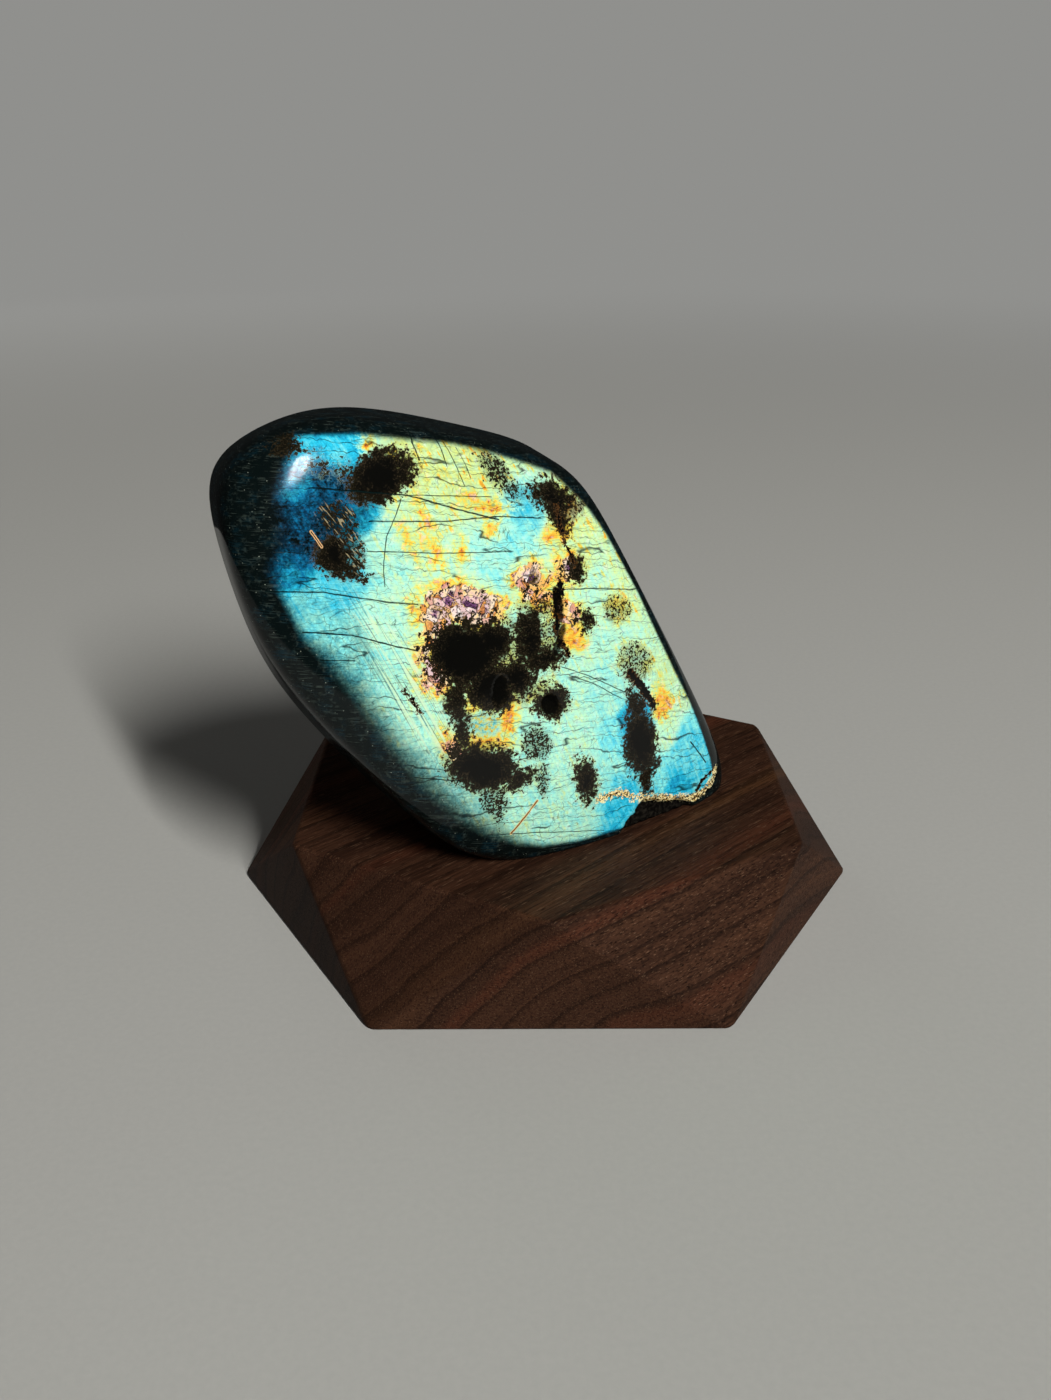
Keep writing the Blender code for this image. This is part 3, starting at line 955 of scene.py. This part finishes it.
        # Inclusions, named cracks and strokes
        included = self.with_inclusions(bench, grain, edges, colour)
        swell = 0.30 + bench.noise(grain.place, 2.0, 0.5, scale=0.9, deep=False) * 0.95
        soft = self.mark_softness
        cracks = self.mark_gap(bench, grain.flat, Ink.CRACK, swell).rise(soft, -soft)
        included = bench.mix(included, self.crack, cracks * 0.96)
        torn = bench.vector("MULTIPLY_ADD", grain.torn, (1.3, 1.3, 0.0), grain.flat)
        for ink, where, rim, beside, own in (
            (Ink.PALE, torn, 0.18, self.mass_rim, self.lath_pale),
            (Ink.BLACK, torn, 0.16, self.mass_rim, self.core_and_pit_shade),
            (Ink.BROWN, grain.flat, 0.14, self.stroke_pale, self.brown),
            (Ink.NEEDLE, grain.flat, 0.15, self.needle_orange, self.core_and_pit_shade),
        ):
            gap = self.mark_gap(bench, where, ink, swell)
            if where is torn:
                gap = gap + (grain.fine - 0.5) * 1.7 + (grain.speckle - 0.5) * 1.1
            included = bench.mix(included, beside, gap.rise(rim + soft, rim - soft))
            included = bench.mix(included, own, gap.rise(soft, -soft))
        colour = bench.mix(colour, included, front)

        # Open pits, darkened with painted shade, and the broken edge with its ragged lip
        broken = (bench.attribute("broken") + (grain.fine - 0.5) * 0.9).rise(0.05, 0.3)
        rock = bench.mix(self.matrix_dark, self.matrix, grain.fine.rise(0.40, 0.72))
        colour = bench.mix(colour, rock, broken)
        lip = bench.attribute("lip")
        uneven = (grain.cloud - 0.5) * 2.2 + (grain.fine - 0.5) * 3.0 + (grain.speckle - 0.5) * 1.6
        ragged = (lip + uneven).rise(0.36, 0.50)
        ragged = ragged * lip.rise(0.02, 0.15)
        grit = 0.5 + (grain.speckle - 0.5) * 1.8 + (grain.fine - 0.5) * 1.4
        colour = bench.mix(colour, bench.ramp(grit, LIP_RAMP), ragged)
        # Painted shade in the pits: they darken towards black as they deepen
        pit = bench.attribute("pit")
        colour = bench.mix(colour, self.core_and_pit_shade, pit.rise(0.05, 0.6) * 0.9)

        # The polish is a clear coat that pits, breaks and cracks don't have
        worn = broken.most(pit.rise(0.0, 0.08)).most(ragged * 0.7).most(cracks * front * 0.8).least(1.0)
        relief = grain.fine * broken.most(pit) - cracks * front * 0.25
        for name, value in (("Specular IOR Level", 0.0), ("Coat Roughness", self.polish),
                            ("Coat IOR", self.index), ("Coat Weight", (1.0 - worn) * self.gloss)):
            bench.feed(bench.shader.inputs[name], value)
        return bench.finish(colour, 0.35 + worn * 0.4, relief, 0.35 * MM)


# The stone's shape


class GroundPlane(NamedTuple):
    """One ground side: where it faces round the rim, how far it turns to the face, in degrees."""

    name: str
    around: float
    towards_face: float
    distance: float

    def normal(self) -> tuple[float, float, float]:
        """Return the direction that the side faces."""
        around, rise = math.radians(self.around), math.radians(self.towards_face)
        return (math.cos(around) * math.cos(rise), math.sin(around) * math.cos(rise), math.sin(rise))


class Pit(NamedTuple):
    """An open hollow in the face: place, half sizes, turn in degrees and depth."""

    name: str
    x: float
    y: float
    half_length: float
    half_width: float
    turn: float
    depth: float


RIM = (
    GroundPlane("right_side", 27, 18, 29.5),
    GroundPlane("top", 73, 8, 32.0),
    GroundPlane("top_shoulder", 107, -8, 44.0),
    GroundPlane("top_left_corner", 147, -6, 52.5),
    GroundPlane("left_side", 191, -14, 34.0),
    GroundPlane("lower_left_side", 217, -4, 29.0),
    GroundPlane("bottom_left_corner", 254, 12, 41.5),
    GroundPlane("bottom", 258, -6, 38.0),
    GroundPlane("bottom_right_corner", 310, 2, 62.0),
)
PITS = (
    Pit("crevice_upper", 7.4, 5.6, 3.6, 0.9, 98, 1.1),
    Pit("crevice_lower", 7.2, 0.0, 3.2, 0.8, 66, 0.9),
    Pit("round_pit", 4.7, -10.3, 2.2, 1.7, 120, 1.0),
    Pit("pit_in_dark_mass", -4.2, -6.0, 2.6, 1.3, 80, 0.7),
)
# The lip of the broken edge where it runs on past the break
LIP_PATH = ((13.6, -28.9), (18.4, -28.9), (21.0, -30.6))
LIP_PATH_RIGHT = ((35.5, -35.0), (38.2, -34.6), (40.4, -33.4), (41.6, -31.4))


@dataclass
class Labradorite:
    """The stone: a slab ground on all sides, polished, pitted and broken at its lower edge.

    Every size is in millimetres, seen from the face: x right, y up, z out of the face.
    """

    middle: tuple[float, float, float] = (-14.7, -12.3, 54.5)
    face_turn: float = 30.0
    face_lean: float = 8.0
    face_depth: float = 21.0
    face_dome: float = 75.0
    back_depth: float = 15.0
    back_dome: float = 80.0
    edge_sharpness: float = 12.0
    blank: tuple[float, float, float] = (45.0, 38.0, 19.0)
    blank_subdivisions: int = 7
    refined_beyond: float = 9.0
    refined_facing: float = 0.5
    pit_steepness: float = 2.0
    break_left: float = 19.0
    break_corner: tuple[float, float] = (22.0, -32.5)
    break_slant: float = -40.0
    break_right: float = 35.5
    break_lip_left: float = -30.3
    break_lip_right: float = -35.2
    break_depth: float = 1.4
    break_ramp: float = 0.9
    break_ragged: float = 0.7
    break_grain: float = 1.6
    break_back: float = 4.0
    lip_width: float = 1.2
    break_front: float = 10.0
    foot_level: float = 20.3
    pattern: FacePattern = FacePattern()
    finish: LabradoriteFinish = LabradoriteFinish()

    def place(self) -> Matrix:
        """Return where the stone stands, from its own axes to the frame's, in metres."""
        turn = Euler((math.radians(90 - self.face_lean), 0.0, math.radians(self.face_turn)))
        return Matrix.Translation(Vector(self.middle) * MM) @ turn.to_matrix().to_4x4()

    def reach(self, rays: Array) -> Array:
        """Return how far the ground surface lies from the middle along each ray."""
        normals = np.array([plane.normal() for plane in RIM])
        distances = np.array([plane.distance for plane in RIM])
        facing = np.clip(rays @ normals.T / distances, 0.0, None)
        share = (facing**self.edge_sharpness).sum(axis=1)
        depth = np.where(rays[:, 2] > 0, self.face_depth, self.back_depth)
        dome = np.where(rays[:, 2] > 0, self.face_dome, self.back_dome)
        sideways = np.hypot(rays[:, 0], rays[:, 1]) / dome
        share += np.hypot(rays[:, 2] / depth, sideways) ** self.edge_sharpness
        return share ** (-1.0 / self.edge_sharpness)

    def ground(self, points: Array) -> Array:
        """Return points moved along their rays onto the ground surface."""
        rays = points / np.linalg.norm(points, axis=1)[:, None]
        return rays * self.reach(rays)[:, None]

    def pitted(self, points: Array) -> Array:
        """Return how deep the pits are at points, as a depth."""
        depth = np.zeros(len(points))
        for pit in PITS:
            shape = Blotch(pit.name, Look.MASS, pit.x, pit.y, pit.half_length, pit.half_width, pit.turn)
            share = shape.inside(points[:, 0], points[:, 1]) / min(pit.half_length, pit.half_width)
            depth = np.maximum(depth, pit.depth * eased(self.pit_steepness * share))
        return np.where(points[:, 2] > self.break_back, depth, 0.0)

    def break_lip(self, points: Array) -> Array:
        """Return how high the lip of the broken edge runs at points."""
        share = (points[:, 0] - self.break_left) / (self.break_right - self.break_left)
        return self.break_lip_left + share * (self.break_lip_right - self.break_lip_left)

    def inside_break(self, points: Array) -> Array:
        """Return how far inside the broken edge points lie."""
        lip = self.break_lip(points)
        slant = math.radians(self.break_slant)
        right, up = points[:, 0] - self.break_corner[0], points[:, 1] - self.break_corner[1]
        within = np.minimum(lip - points[:, 1], right * math.cos(slant) + up * math.sin(slant))
        within = np.minimum(within, self.break_right - points[:, 0])
        for row in np.flatnonzero((within > -2.0) & (points[:, 2] > self.break_back)):
            spot = Vector(points[row])
            within[row] += self.break_ragged * noise.noise(spot / self.break_grain)
            within[row] += 0.22 * noise.noise(spot / 0.5)
        return np.where(points[:, 2] > self.break_back, within, -9.0)

    def carved(self, points: Array) -> Array:
        """Return how much of the polished face is missing at points."""
        front = eased((points[:, 2] - self.break_back) / (self.break_front - self.break_back))
        inside = self.inside_break(points)
        broken = self.break_depth * front * eased(inside / self.break_ramp)
        rubble = np.zeros(len(points))
        for row in np.flatnonzero(broken > 0.2):
            rubble[row] = 0.22 * noise.turbulence(Vector(points[row]) / 1.3, 3, False)
        return np.maximum(self.pitted(points), broken + rubble)

    def lip(self, points: Array) -> Array:
        """Return where the ragged gold lip of the break runs, 0 to 1."""
        inside, over = self.inside_break(points), self.break_lip(points) - points[:, 1]
        band = eased(1.0 - np.abs(over + 0.2) / self.lip_width)
        band = np.where(inside > over - self.lip_width, band, 0.0)
        for path in (LIP_PATH, LIP_PATH_RIGHT):
            for start, end in zip(path, path[1:]):
                run = np.array(end) - np.array(start)
                offset = points[:, :2] - np.array(start)
                along = np.clip(offset @ run / (run @ run), 0.0, 1.0)
                away = np.linalg.norm(offset - along[:, None] * run, axis=1)
                band = np.maximum(band, eased(1.0 - away / self.lip_width))
        return band

    def twin_band(self, points: Array) -> Array:
        """Return where the twin striations show: a slanting band left of the masses."""
        turn = math.radians(TWIN_TURN)
        right, up = points[:, 0] + 19.6, points[:, 1] + 2.0
        along = right * math.cos(turn) + up * math.sin(turn)
        across = up * math.cos(turn) - right * math.sin(turn)
        return eased(1.6 * (1.0 - np.hypot(along / 21.0, across / 5.6)))

    def rough_out(self) -> bpy.types.Object:
        """Add the round blank, halve its triangles on the face, and return it."""
        bpy.ops.mesh.primitive_ico_sphere_add(subdivisions=self.blank_subdivisions, radius=1.0)
        stone = bpy.context.object
        stone.name = stone.data.name = "labradorite_stone"
        points = self.ground(read_points(stone) * np.array(self.blank))
        write_points(stone, points)
        self.select_face(stone)
        bpy.ops.object.mode_set(mode="EDIT")
        bpy.ops.mesh.subdivide(number_cuts=1)
        bpy.ops.mesh.select_all(action="SELECT")
        bpy.ops.mesh.quads_convert_to_tris()
        bpy.ops.object.mode_set(mode="OBJECT")
        return stone

    def select_face(self, stone: bpy.types.Object) -> None:
        """Select the triangles of the polished face."""
        for polygon in stone.data.polygons:
            on_face = polygon.center.z > self.refined_beyond and polygon.normal.z > self.refined_facing
            polygon.select = on_face
        for edge in stone.data.edges:
            edge.select = False
        for vertex in stone.data.vertices:
            vertex.select = False
        for polygon in stone.data.polygons:
            if polygon.select:
                for index in polygon.vertices:
                    stone.data.vertices[index].select = True

    def cut_foot(self, stone: bpy.types.Object) -> None:
        """Cut the stone level just above the stand, and close the cut."""
        bpy.ops.object.mode_set(mode="EDIT")
        bpy.ops.mesh.select_all(action="SELECT")
        bpy.ops.mesh.bisect(
            plane_co=(0.0, 0.0, self.foot_level * MM), plane_no=(0.0, 0.0, -1.0),
            use_fill=True, clear_outer=True,
        )
        bpy.ops.mesh.select_all(action="SELECT")
        bpy.ops.mesh.quads_convert_to_tris()
        bpy.ops.mesh.normals_make_consistent(inside=False)
        bpy.ops.object.mode_set(mode="OBJECT")

    def build(self) -> bpy.types.Object:
        """Build and dress the stone.

        Returns:
            The finished piece, in place of the plain CAD stone.
        """
        deselect()
        stone = self.rough_out()
        points = self.ground(read_points(stone))
        points[:, 2] -= self.carved(points)
        write_points(stone, points)
        stone.data.transform(self.place() @ Matrix.Scale(MM, 4))
        self.cut_foot(stone)
        stone.data.shade_smooth()
        self.store_fields(stone)
        stone.data.materials.append(self.finish.make())
        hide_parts("labradorite")
        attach(stone, "root")
        return stone

    def store_fields(self, stone: bpy.types.Object) -> None:
        """Store in the mesh what the finish reads."""
        back = np.array((self.place() @ Matrix.Scale(MM, 4)).inverted())
        world = read_points(stone)
        points = world @ back[:3, :3].T + back[:3, 3]
        normals = np.empty(len(world) * 3)
        stone.data.vertices.foreach_get("normal", normals)
        out = np.array(self.place())[:3, 2]
        facing = normals.reshape(-1, 3) @ out
        fields = self.pattern.fields(points, facing)
        # How deep the pits are, which the finish reads to paint shade in them
        fields["pit"] = eased(self.pitted(points) / 0.6)
        fields["broken"] = np.clip(self.inside_break(points), -3.0, 3.0)
        fields["lip"] = self.lip(points) * (points[:, 2] > self.break_back)
        fields["twins"] = self.twin_band(points) * fields["front"]
        for name, values in fields.items():
            layer = stone.data.attributes.new(name, "FLOAT", "POINT")
            layer.data.foreach_set("value", values.astype(np.float32))
        layer = stone.data.attributes.new("face_place", "FLOAT_VECTOR", "POINT")
        layer.data.foreach_set("vector", points.astype(np.float32).ravel())


# The stand


WALNUT_RAMP = (
    (0.24, shade(30, 17, 11)), (0.40, shade(46, 28, 19)), (0.50, shade(57, 36, 25)),
    (0.60, shade(66, 42, 29)), (0.74, shade(82, 54, 36)),
)


@dataclass(frozen=True)
class WalnutFinish:
    """Oiled walnut: growth rings round a pith, streaks, open pores and fine fibre."""

    name: str = "walnut"
    dark: Colour = shade(28, 16, 10)
    light: Colour = shade(84, 56, 39)
    red: Colour = shade(90, 44, 28)
    golden: Colour = shade(104, 70, 38)
    pore_pale: Colour = shade(126, 96, 74)
    pore_dark: Colour = shade(16, 9, 6)
    fibre_turn: float = 44.4
    pith: tuple[float, float, float] = (46.0, -46.0, -26.0)
    ring: float = 5.0
    index: float = 1.47
    specular: float = 0.08

    def make(self) -> bpy.types.Material:
        """Return the stand's material."""
        bench = Bench(self.name)
        corner = bench.node("ShaderNodeTexCoord", output="Object")
        unit = (MM, MM, MM)
        place = bench.laid(corner, self.fibre_turn, unit, tuple(part * MM for part in self.pith))
        slow = bench.noise(bench.laid(place, 0, (120.0, 26.0, 26.0)), 1.0, 0.5)
        bends = bench.noise(bench.laid(place, 0, (40.0, 7.0, 7.0)), 3.0, 0.5)
        across = bench.vector("MULTIPLY", place, (0.0, 1.0, 1.0))
        away = bench.vector("LENGTH", across, output="Value") + (slow - 0.5) * 12.0 + (bends - 0.5) * 1.8
        years = away * (1.0 / self.ring)
        along = bench.vector("DOT_PRODUCT", place, (0.004, 0.0, 0.0), output="Value")
        by_year = bench.node("ShaderNodeCombineXYZ", {}, {0: years, 1: along})
        band = bench.noise(by_year, 5.0, 0.72, scale=1.15)
        tint = bench.noise(by_year, 2.0, 0.5, scale=0.55)
        colour = bench.ramp(band, WALNUT_RAMP)
        colour = bench.mix(colour, self.red, tint.rise(0.52, 0.70) * 0.40)
        colour = bench.mix(colour, self.golden, tint.rise(0.44, 0.30) * 0.30)
        late = years.math("FRACT").rise(0.70, 0.97) * years.math("FRACT").rise(1.0, 0.975)
        colour = bench.mix(colour, self.dark, late * 0.70)
        fibre = bench.noise(bench.laid(place, 0, (9.0, 0.30, 0.30)), 3.0, 0.65)
        colour = bench.mix(colour, self.dark, fibre.rise(0.50, 0.64) * 0.72)
        colour = bench.mix(colour, self.light, fibre.rise(0.46, 0.30) * 0.42)
        pores = bench.noise(bench.laid(place, 0, (3.0, 0.18, 0.18), (1, 2, 3)), 1.0, 0.5)
        open_pore = pores.rise(0.63, 0.70)
        pale_pore = bench.noise(bench.laid(place, 0, (2.4, 0.17, 0.17), (5, 4, 9)), 1.0, 0.5).rise(0.65, 0.71)
        colour = bench.mix(colour, self.pore_dark, open_pore * 0.75)
        colour = bench.mix(colour, self.pore_pale, pale_pore * 0.40)
        colour = bench.mix(colour, self.dark, bench.attribute("end_grain").rise(0.60, 0.95) * 0.46)
        rough = 0.56 + fibre * 0.16 + open_pore * 0.2
        relief = fibre * 0.25 - open_pore * 0.8
        bench.shader.inputs["Specular IOR Level"].default_value = self.specular
        bench.shader.inputs["IOR"].default_value = self.index
        return bench.finish(colour, rough, relief, 0.08 * MM)


@dataclass
class WalnutStand:
    """The stand: a hexagonal board whose upright corners are sawn off on a slant."""

    across_flats: float = 100.0
    thickness: float = 20.0
    sides: int = 6
    edge_rounding: float = 0.6
    rounding_steps: int = 3
    sharp_edge: float = math.radians(25)
    finish: WalnutFinish = WalnutFinish()

    def build(self) -> bpy.types.Object:
        """Saw the stand from its board, round its edges and dress it.

        Returns:
            The finished piece, in place of the plain CAD stand.
        """
        deselect()
        side, half = self.across_flats / 2, math.pi / self.sides
        corner = side / math.cos(half)
        bpy.ops.mesh.primitive_cylinder_add(
            vertices=self.sides, radius=corner * MM, depth=self.thickness * MM,
            location=(0.0, 0.0, self.thickness / 2 * MM), rotation=(0.0, 0.0, half),
        )
        stand = bpy.context.object
        stand.name = stand.data.name = "walnut_stand_board"
        bpy.ops.object.transform_apply(location=True, rotation=True, scale=True)
        bpy.ops.object.mode_set(mode="EDIT")
        for number in range(self.sides):
            self.saw_corner(number * 2 * half, corner, side * math.cos(half))
        bpy.ops.mesh.select_all(action="SELECT")
        bpy.ops.mesh.remove_doubles(threshold=0.01 * MM)
        bpy.ops.mesh.normals_make_consistent(inside=False)
        bpy.ops.object.mode_set(mode="OBJECT")
        self.round_edges(stand)
        self.store_end_grain(stand)
        stand.data.materials.append(self.finish.make())
        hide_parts("walnut_stand")
        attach(stand, "root")
        return stand

    def saw_corner(self, around: float, corner: float, top_reach: float) -> None:
        """Saw off one upright corner.

        Args:
            around: Where the corner stands round the board.
            corner: How far it is from the middle, at the foot of the cut.
            top_reach: How far the cut is from the middle, at the top.
        """
        outwards = Vector((math.cos(around), math.sin(around), 0.0))
        slope = Vector((self.thickness, 0.0, corner - top_reach)).normalized()
        normal = outwards * slope.x + Vector((0.0, 0.0, slope.z))
        bpy.ops.mesh.select_all(action="SELECT")
        bpy.ops.mesh.bisect(
            plane_co=outwards * corner * MM, plane_no=normal, use_fill=True, clear_outer=True,
            threshold=0.001 * MM,
        )

    def round_edges(self, stand: bpy.types.Object) -> None:
        """Round every edge a little and keep the sawn sides flat."""
        bevel = stand.modifiers.new("rounding", "BEVEL")
        bevel.width = self.edge_rounding * MM
        bevel.segments = self.rounding_steps
        bevel.limit_method = "ANGLE"
        bevel.angle_limit = self.sharp_edge
        weighted = stand.modifiers.new("flat_sides", "WEIGHTED_NORMAL")
        weighted.keep_sharp = False
        for polygon in stand.data.polygons:
            polygon.use_smooth = True
        for modifier in (bevel.name, weighted.name):
            bpy.ops.object.modifier_apply(modifier=modifier)

    def store_end_grain(self, stand: bpy.types.Object) -> None:
        """Store in the mesh how squarely each side cuts the fibre."""
        turn = math.radians(self.finish.fibre_turn)
        fibre = Vector((math.cos(turn), math.sin(turn), 0.0))
        layer = stand.data.attributes.new("end_grain", "FLOAT", "FACE")
        for polygon in stand.data.polygons:
            layer.data[polygon.index].value = abs(polygon.normal.dot(fibre))


# The studio


@dataclass
class Studio:
    """A pale floor in a pale cove, a soft window light in front and a dim soft one behind.

    The cove beyond the floor is for the camera alone. It isn't mirrored in the polish, as
    black cloth round a table would see to.
    """

    floor_reach: float = 0.27
    cove_start: float = 2.0
    cove: float = 0.8
    wall: float = 1.6
    cove_steps: int = 10
    paper: Colour = shade(187, 187, 182)
    paper_tooth: Colour = shade(178, 178, 174)
    cove_glow: float = 0.278
    lit_reach: float = 1.1
    towards_key: tuple[float, float, float] = (0.355, -0.73, 0.58)
    key_distance: float = 2.3
    key_size: tuple[float, float] = (0.11, 0.95)
    key_power: float = 60.0
    glint_size: tuple[float, float] = (0.18, 0.80)
    glint_power: float = 30.0
    towards_back: tuple[float, float, float] = (-0.45, 0.87, 0.10)
    back_distance: float = 1.6
    back_size: tuple[float, float] = (1.2, 0.30)
    back_power: float = 7.5
    fill: float = 0.017

    def build(self) -> bpy.types.Object:
        """Build the floor, the cove and the lights.

        Returns:
            The floor.
        """
        deselect()
        floor = self.disc("studio_floor", self.floor_reach)
        cove = self.disc("studio_cove", self.floor_reach)
        self.raise_cove()
        cove.visible_glossy = cove.visible_diffuse = False
        for piece, glow in ((floor, 0.0), (cove, self.cove_glow)):
            piece.data.shade_smooth()
            piece.data.materials.append(self.paper_finish(piece.name, glow))
        key = self.light("window_light", self.towards_key, self.key_distance, self.key_size, self.key_power)
        glint = self.light("window_glint", self.towards_key, self.key_distance, self.glint_size,
                           self.glint_power)
        back = self.light("back_light", self.towards_back, self.back_distance, self.back_size,
                          self.back_power)
        key.visible_glossy = back.visible_glossy = back.visible_camera = False
        glint.visible_diffuse = glint.visible_camera = False
        self.light_room()
        return floor

    def disc(self, name: str, reach: float) -> bpy.types.Object:
        """Add a round flat piece on the ground and return it."""
        bpy.ops.mesh.primitive_circle_add(vertices=128, radius=reach, fill_type="NGON")
        piece = bpy.context.object
        piece.name = piece.data.name = name
        return piece

    def paper_finish(self, name: str, glow: float) -> bpy.types.Material:
        """Return matt paper, with a glow that grows away from the floor."""
        bench = Bench(name)
        place = bench.node("ShaderNodeTexCoord", output="Object")
        tooth = bench.noise(place, 3.0, 0.6, scale=900.0)
        away = bench.vector("LENGTH", place, output="Value")
        far = away.rise(self.floor_reach, self.lit_reach) * (1.0 if glow else 0.0)
        lift = far * glow
        lift = bench.node("ShaderNodeCombineColor", {}, {0: lift, 1: lift, 2: lift * 0.96})
        bench.feed(bench.shader.inputs["Emission Color"], lift)
        bench.shader.inputs["Emission Strength"].default_value = 1.0
        bench.shader.inputs["Specular IOR Level"].default_value = 0.1
        colour = bench.mix(bench.mix(self.paper, self.paper_tooth, tooth), shade(0, 0, 0), far)
        return bench.finish(colour, 0.9, tooth, 0.02 * MM)

    def raise_cove(self) -> None:
        """Open the disc, pull its rim out level, then up in a quarter round and a wall."""
        bpy.ops.object.mode_set(mode="EDIT")
        bpy.ops.mesh.select_all(action="SELECT")
        bpy.ops.mesh.delete(type="ONLY_FACE")
        bpy.ops.mesh.select_mode(type="EDGE")
        bpy.ops.mesh.select_all(action="SELECT")
        profile = [(self.cove_start, 0.0)]
        for step in range(1, self.cove_steps + 1):
            angle = step / self.cove_steps * math.pi / 2
            profile.append((self.cove_start + self.cove * math.sin(angle), self.cove * (1 - math.cos(angle))))
        profile.append((self.cove_start + self.cove, self.cove + self.wall))
        reach, height = self.floor_reach, 0.0
        for new_reach, new_height in profile:
            bpy.ops.mesh.extrude_edges_move()
            grow = new_reach / reach
            bpy.ops.transform.resize(value=(grow, grow, 1.0), center_override=(0.0, 0.0, height))
            bpy.ops.transform.translate(value=(0.0, 0.0, new_height - height))
            reach, height = new_reach, new_height
        bpy.ops.mesh.select_all(action="SELECT")
        bpy.ops.mesh.normals_make_consistent(inside=True)
        bpy.ops.object.mode_set(mode="OBJECT")

    def light(self, name: str, towards: tuple[float, float, float], distance: float,
              size: tuple[float, float], power: float) -> bpy.types.Object:
        """Add a soft light that faces the stone.

        Args:
            name: The light's name.
            towards: The direction from the stone to the light.
            distance: How far away it is, in metres.
            size: Its width and height, in metres.
            power: Its power, in watts.

        Returns:
            The light.
        """
        away = Vector(towards).normalized()
        data = bpy.data.lights.new(name, "AREA")
        data.shape = "ELLIPSE"
        data.size, data.size_y = size
        data.energy = power
        data.color = (1.0, 0.985, 0.96)
        lamp = bpy.data.objects.new(name, data)
        lamp.location = away * distance + Vector((0.0, 0.0, 0.05))
        lamp.rotation_euler = away.to_track_quat("Z", "Y").to_euler()
        bpy.context.scene.collection.objects.link(lamp)
        return lamp

    def light_room(self) -> None:
        """Give the room a dim even light."""
        world = bpy.data.worlds.new("dim_room")
        world.use_nodes = True
        background = world.node_tree.nodes["Background"]
        background.inputs["Color"].default_value = (1.0, 1.0, 1.0, 1.0)
        background.inputs["Strength"].default_value = self.fill
        bpy.context.scene.world = world


@dataclass
class PhotoCamera:
    """The camera where the photograph was taken, in metres and degrees."""

    place: tuple[float, float, float] = (-0.00367, -0.22905, 0.13179)
    upright: float = 67.30
    roll: float = -0.2
    lens: float = 35.0
    film: float = 36.0

    def build(self) -> bpy.types.Object:
        """Add the camera and make it the scene's own."""
        data = bpy.data.cameras.new("photo_camera")
        data.lens = self.lens
        data.sensor_fit = "VERTICAL"
        data.sensor_height = self.film
        data.clip_start = 0.01
        camera = bpy.data.objects.new("photo_camera", data)
        turn = Matrix.Rotation(math.radians(self.upright), 4, "X")
        roll = Matrix.Rotation(math.radians(self.roll), 4, "Z")
        camera.matrix_world = Matrix.Translation(self.place) @ turn @ roll
        bpy.context.scene.collection.objects.link(camera)
        bpy.context.scene.camera = camera
        bpy.context.scene.view_settings.view_transform = "Standard"
        return camera


# Small helpers


def deselect() -> None:
    """Deselect every object, so that an operator acts on new ones alone."""
    bpy.ops.object.select_all(action="DESELECT")


def read_points(piece: bpy.types.Object) -> Array:
    """Return the places of a piece's vertices, one row each."""
    flat = np.empty(len(piece.data.vertices) * 3)
    piece.data.vertices.foreach_get("co", flat)
    return flat.reshape(-1, 3)


def write_points(piece: bpy.types.Object, points: Array) -> None:
    """Move a piece's vertices to places."""
    piece.data.vertices.foreach_set("co", points.ravel())
    piece.data.update()


def report(piece: bpy.types.Object) -> None:
    """Log a finished piece and its triangles."""
    triangles = sum(len(polygon.vertices) - 2 for polygon in piece.data.polygons)
    LOG.info("%s: %d triangles", piece.name, triangles)


def main() -> None:
    """Build the camera, the stand, the stone and the studio, in that order."""
    logging.basicConfig(level=logging.INFO, format="%(message)s")
    PhotoCamera().build()
    builders: tuple[Callable[[], bpy.types.Object], ...] = (
        WalnutStand().build, Labradorite().build, Studio().build,
    )
    for build in builders:
        report(build())


if __name__ == "__main__":
    main()
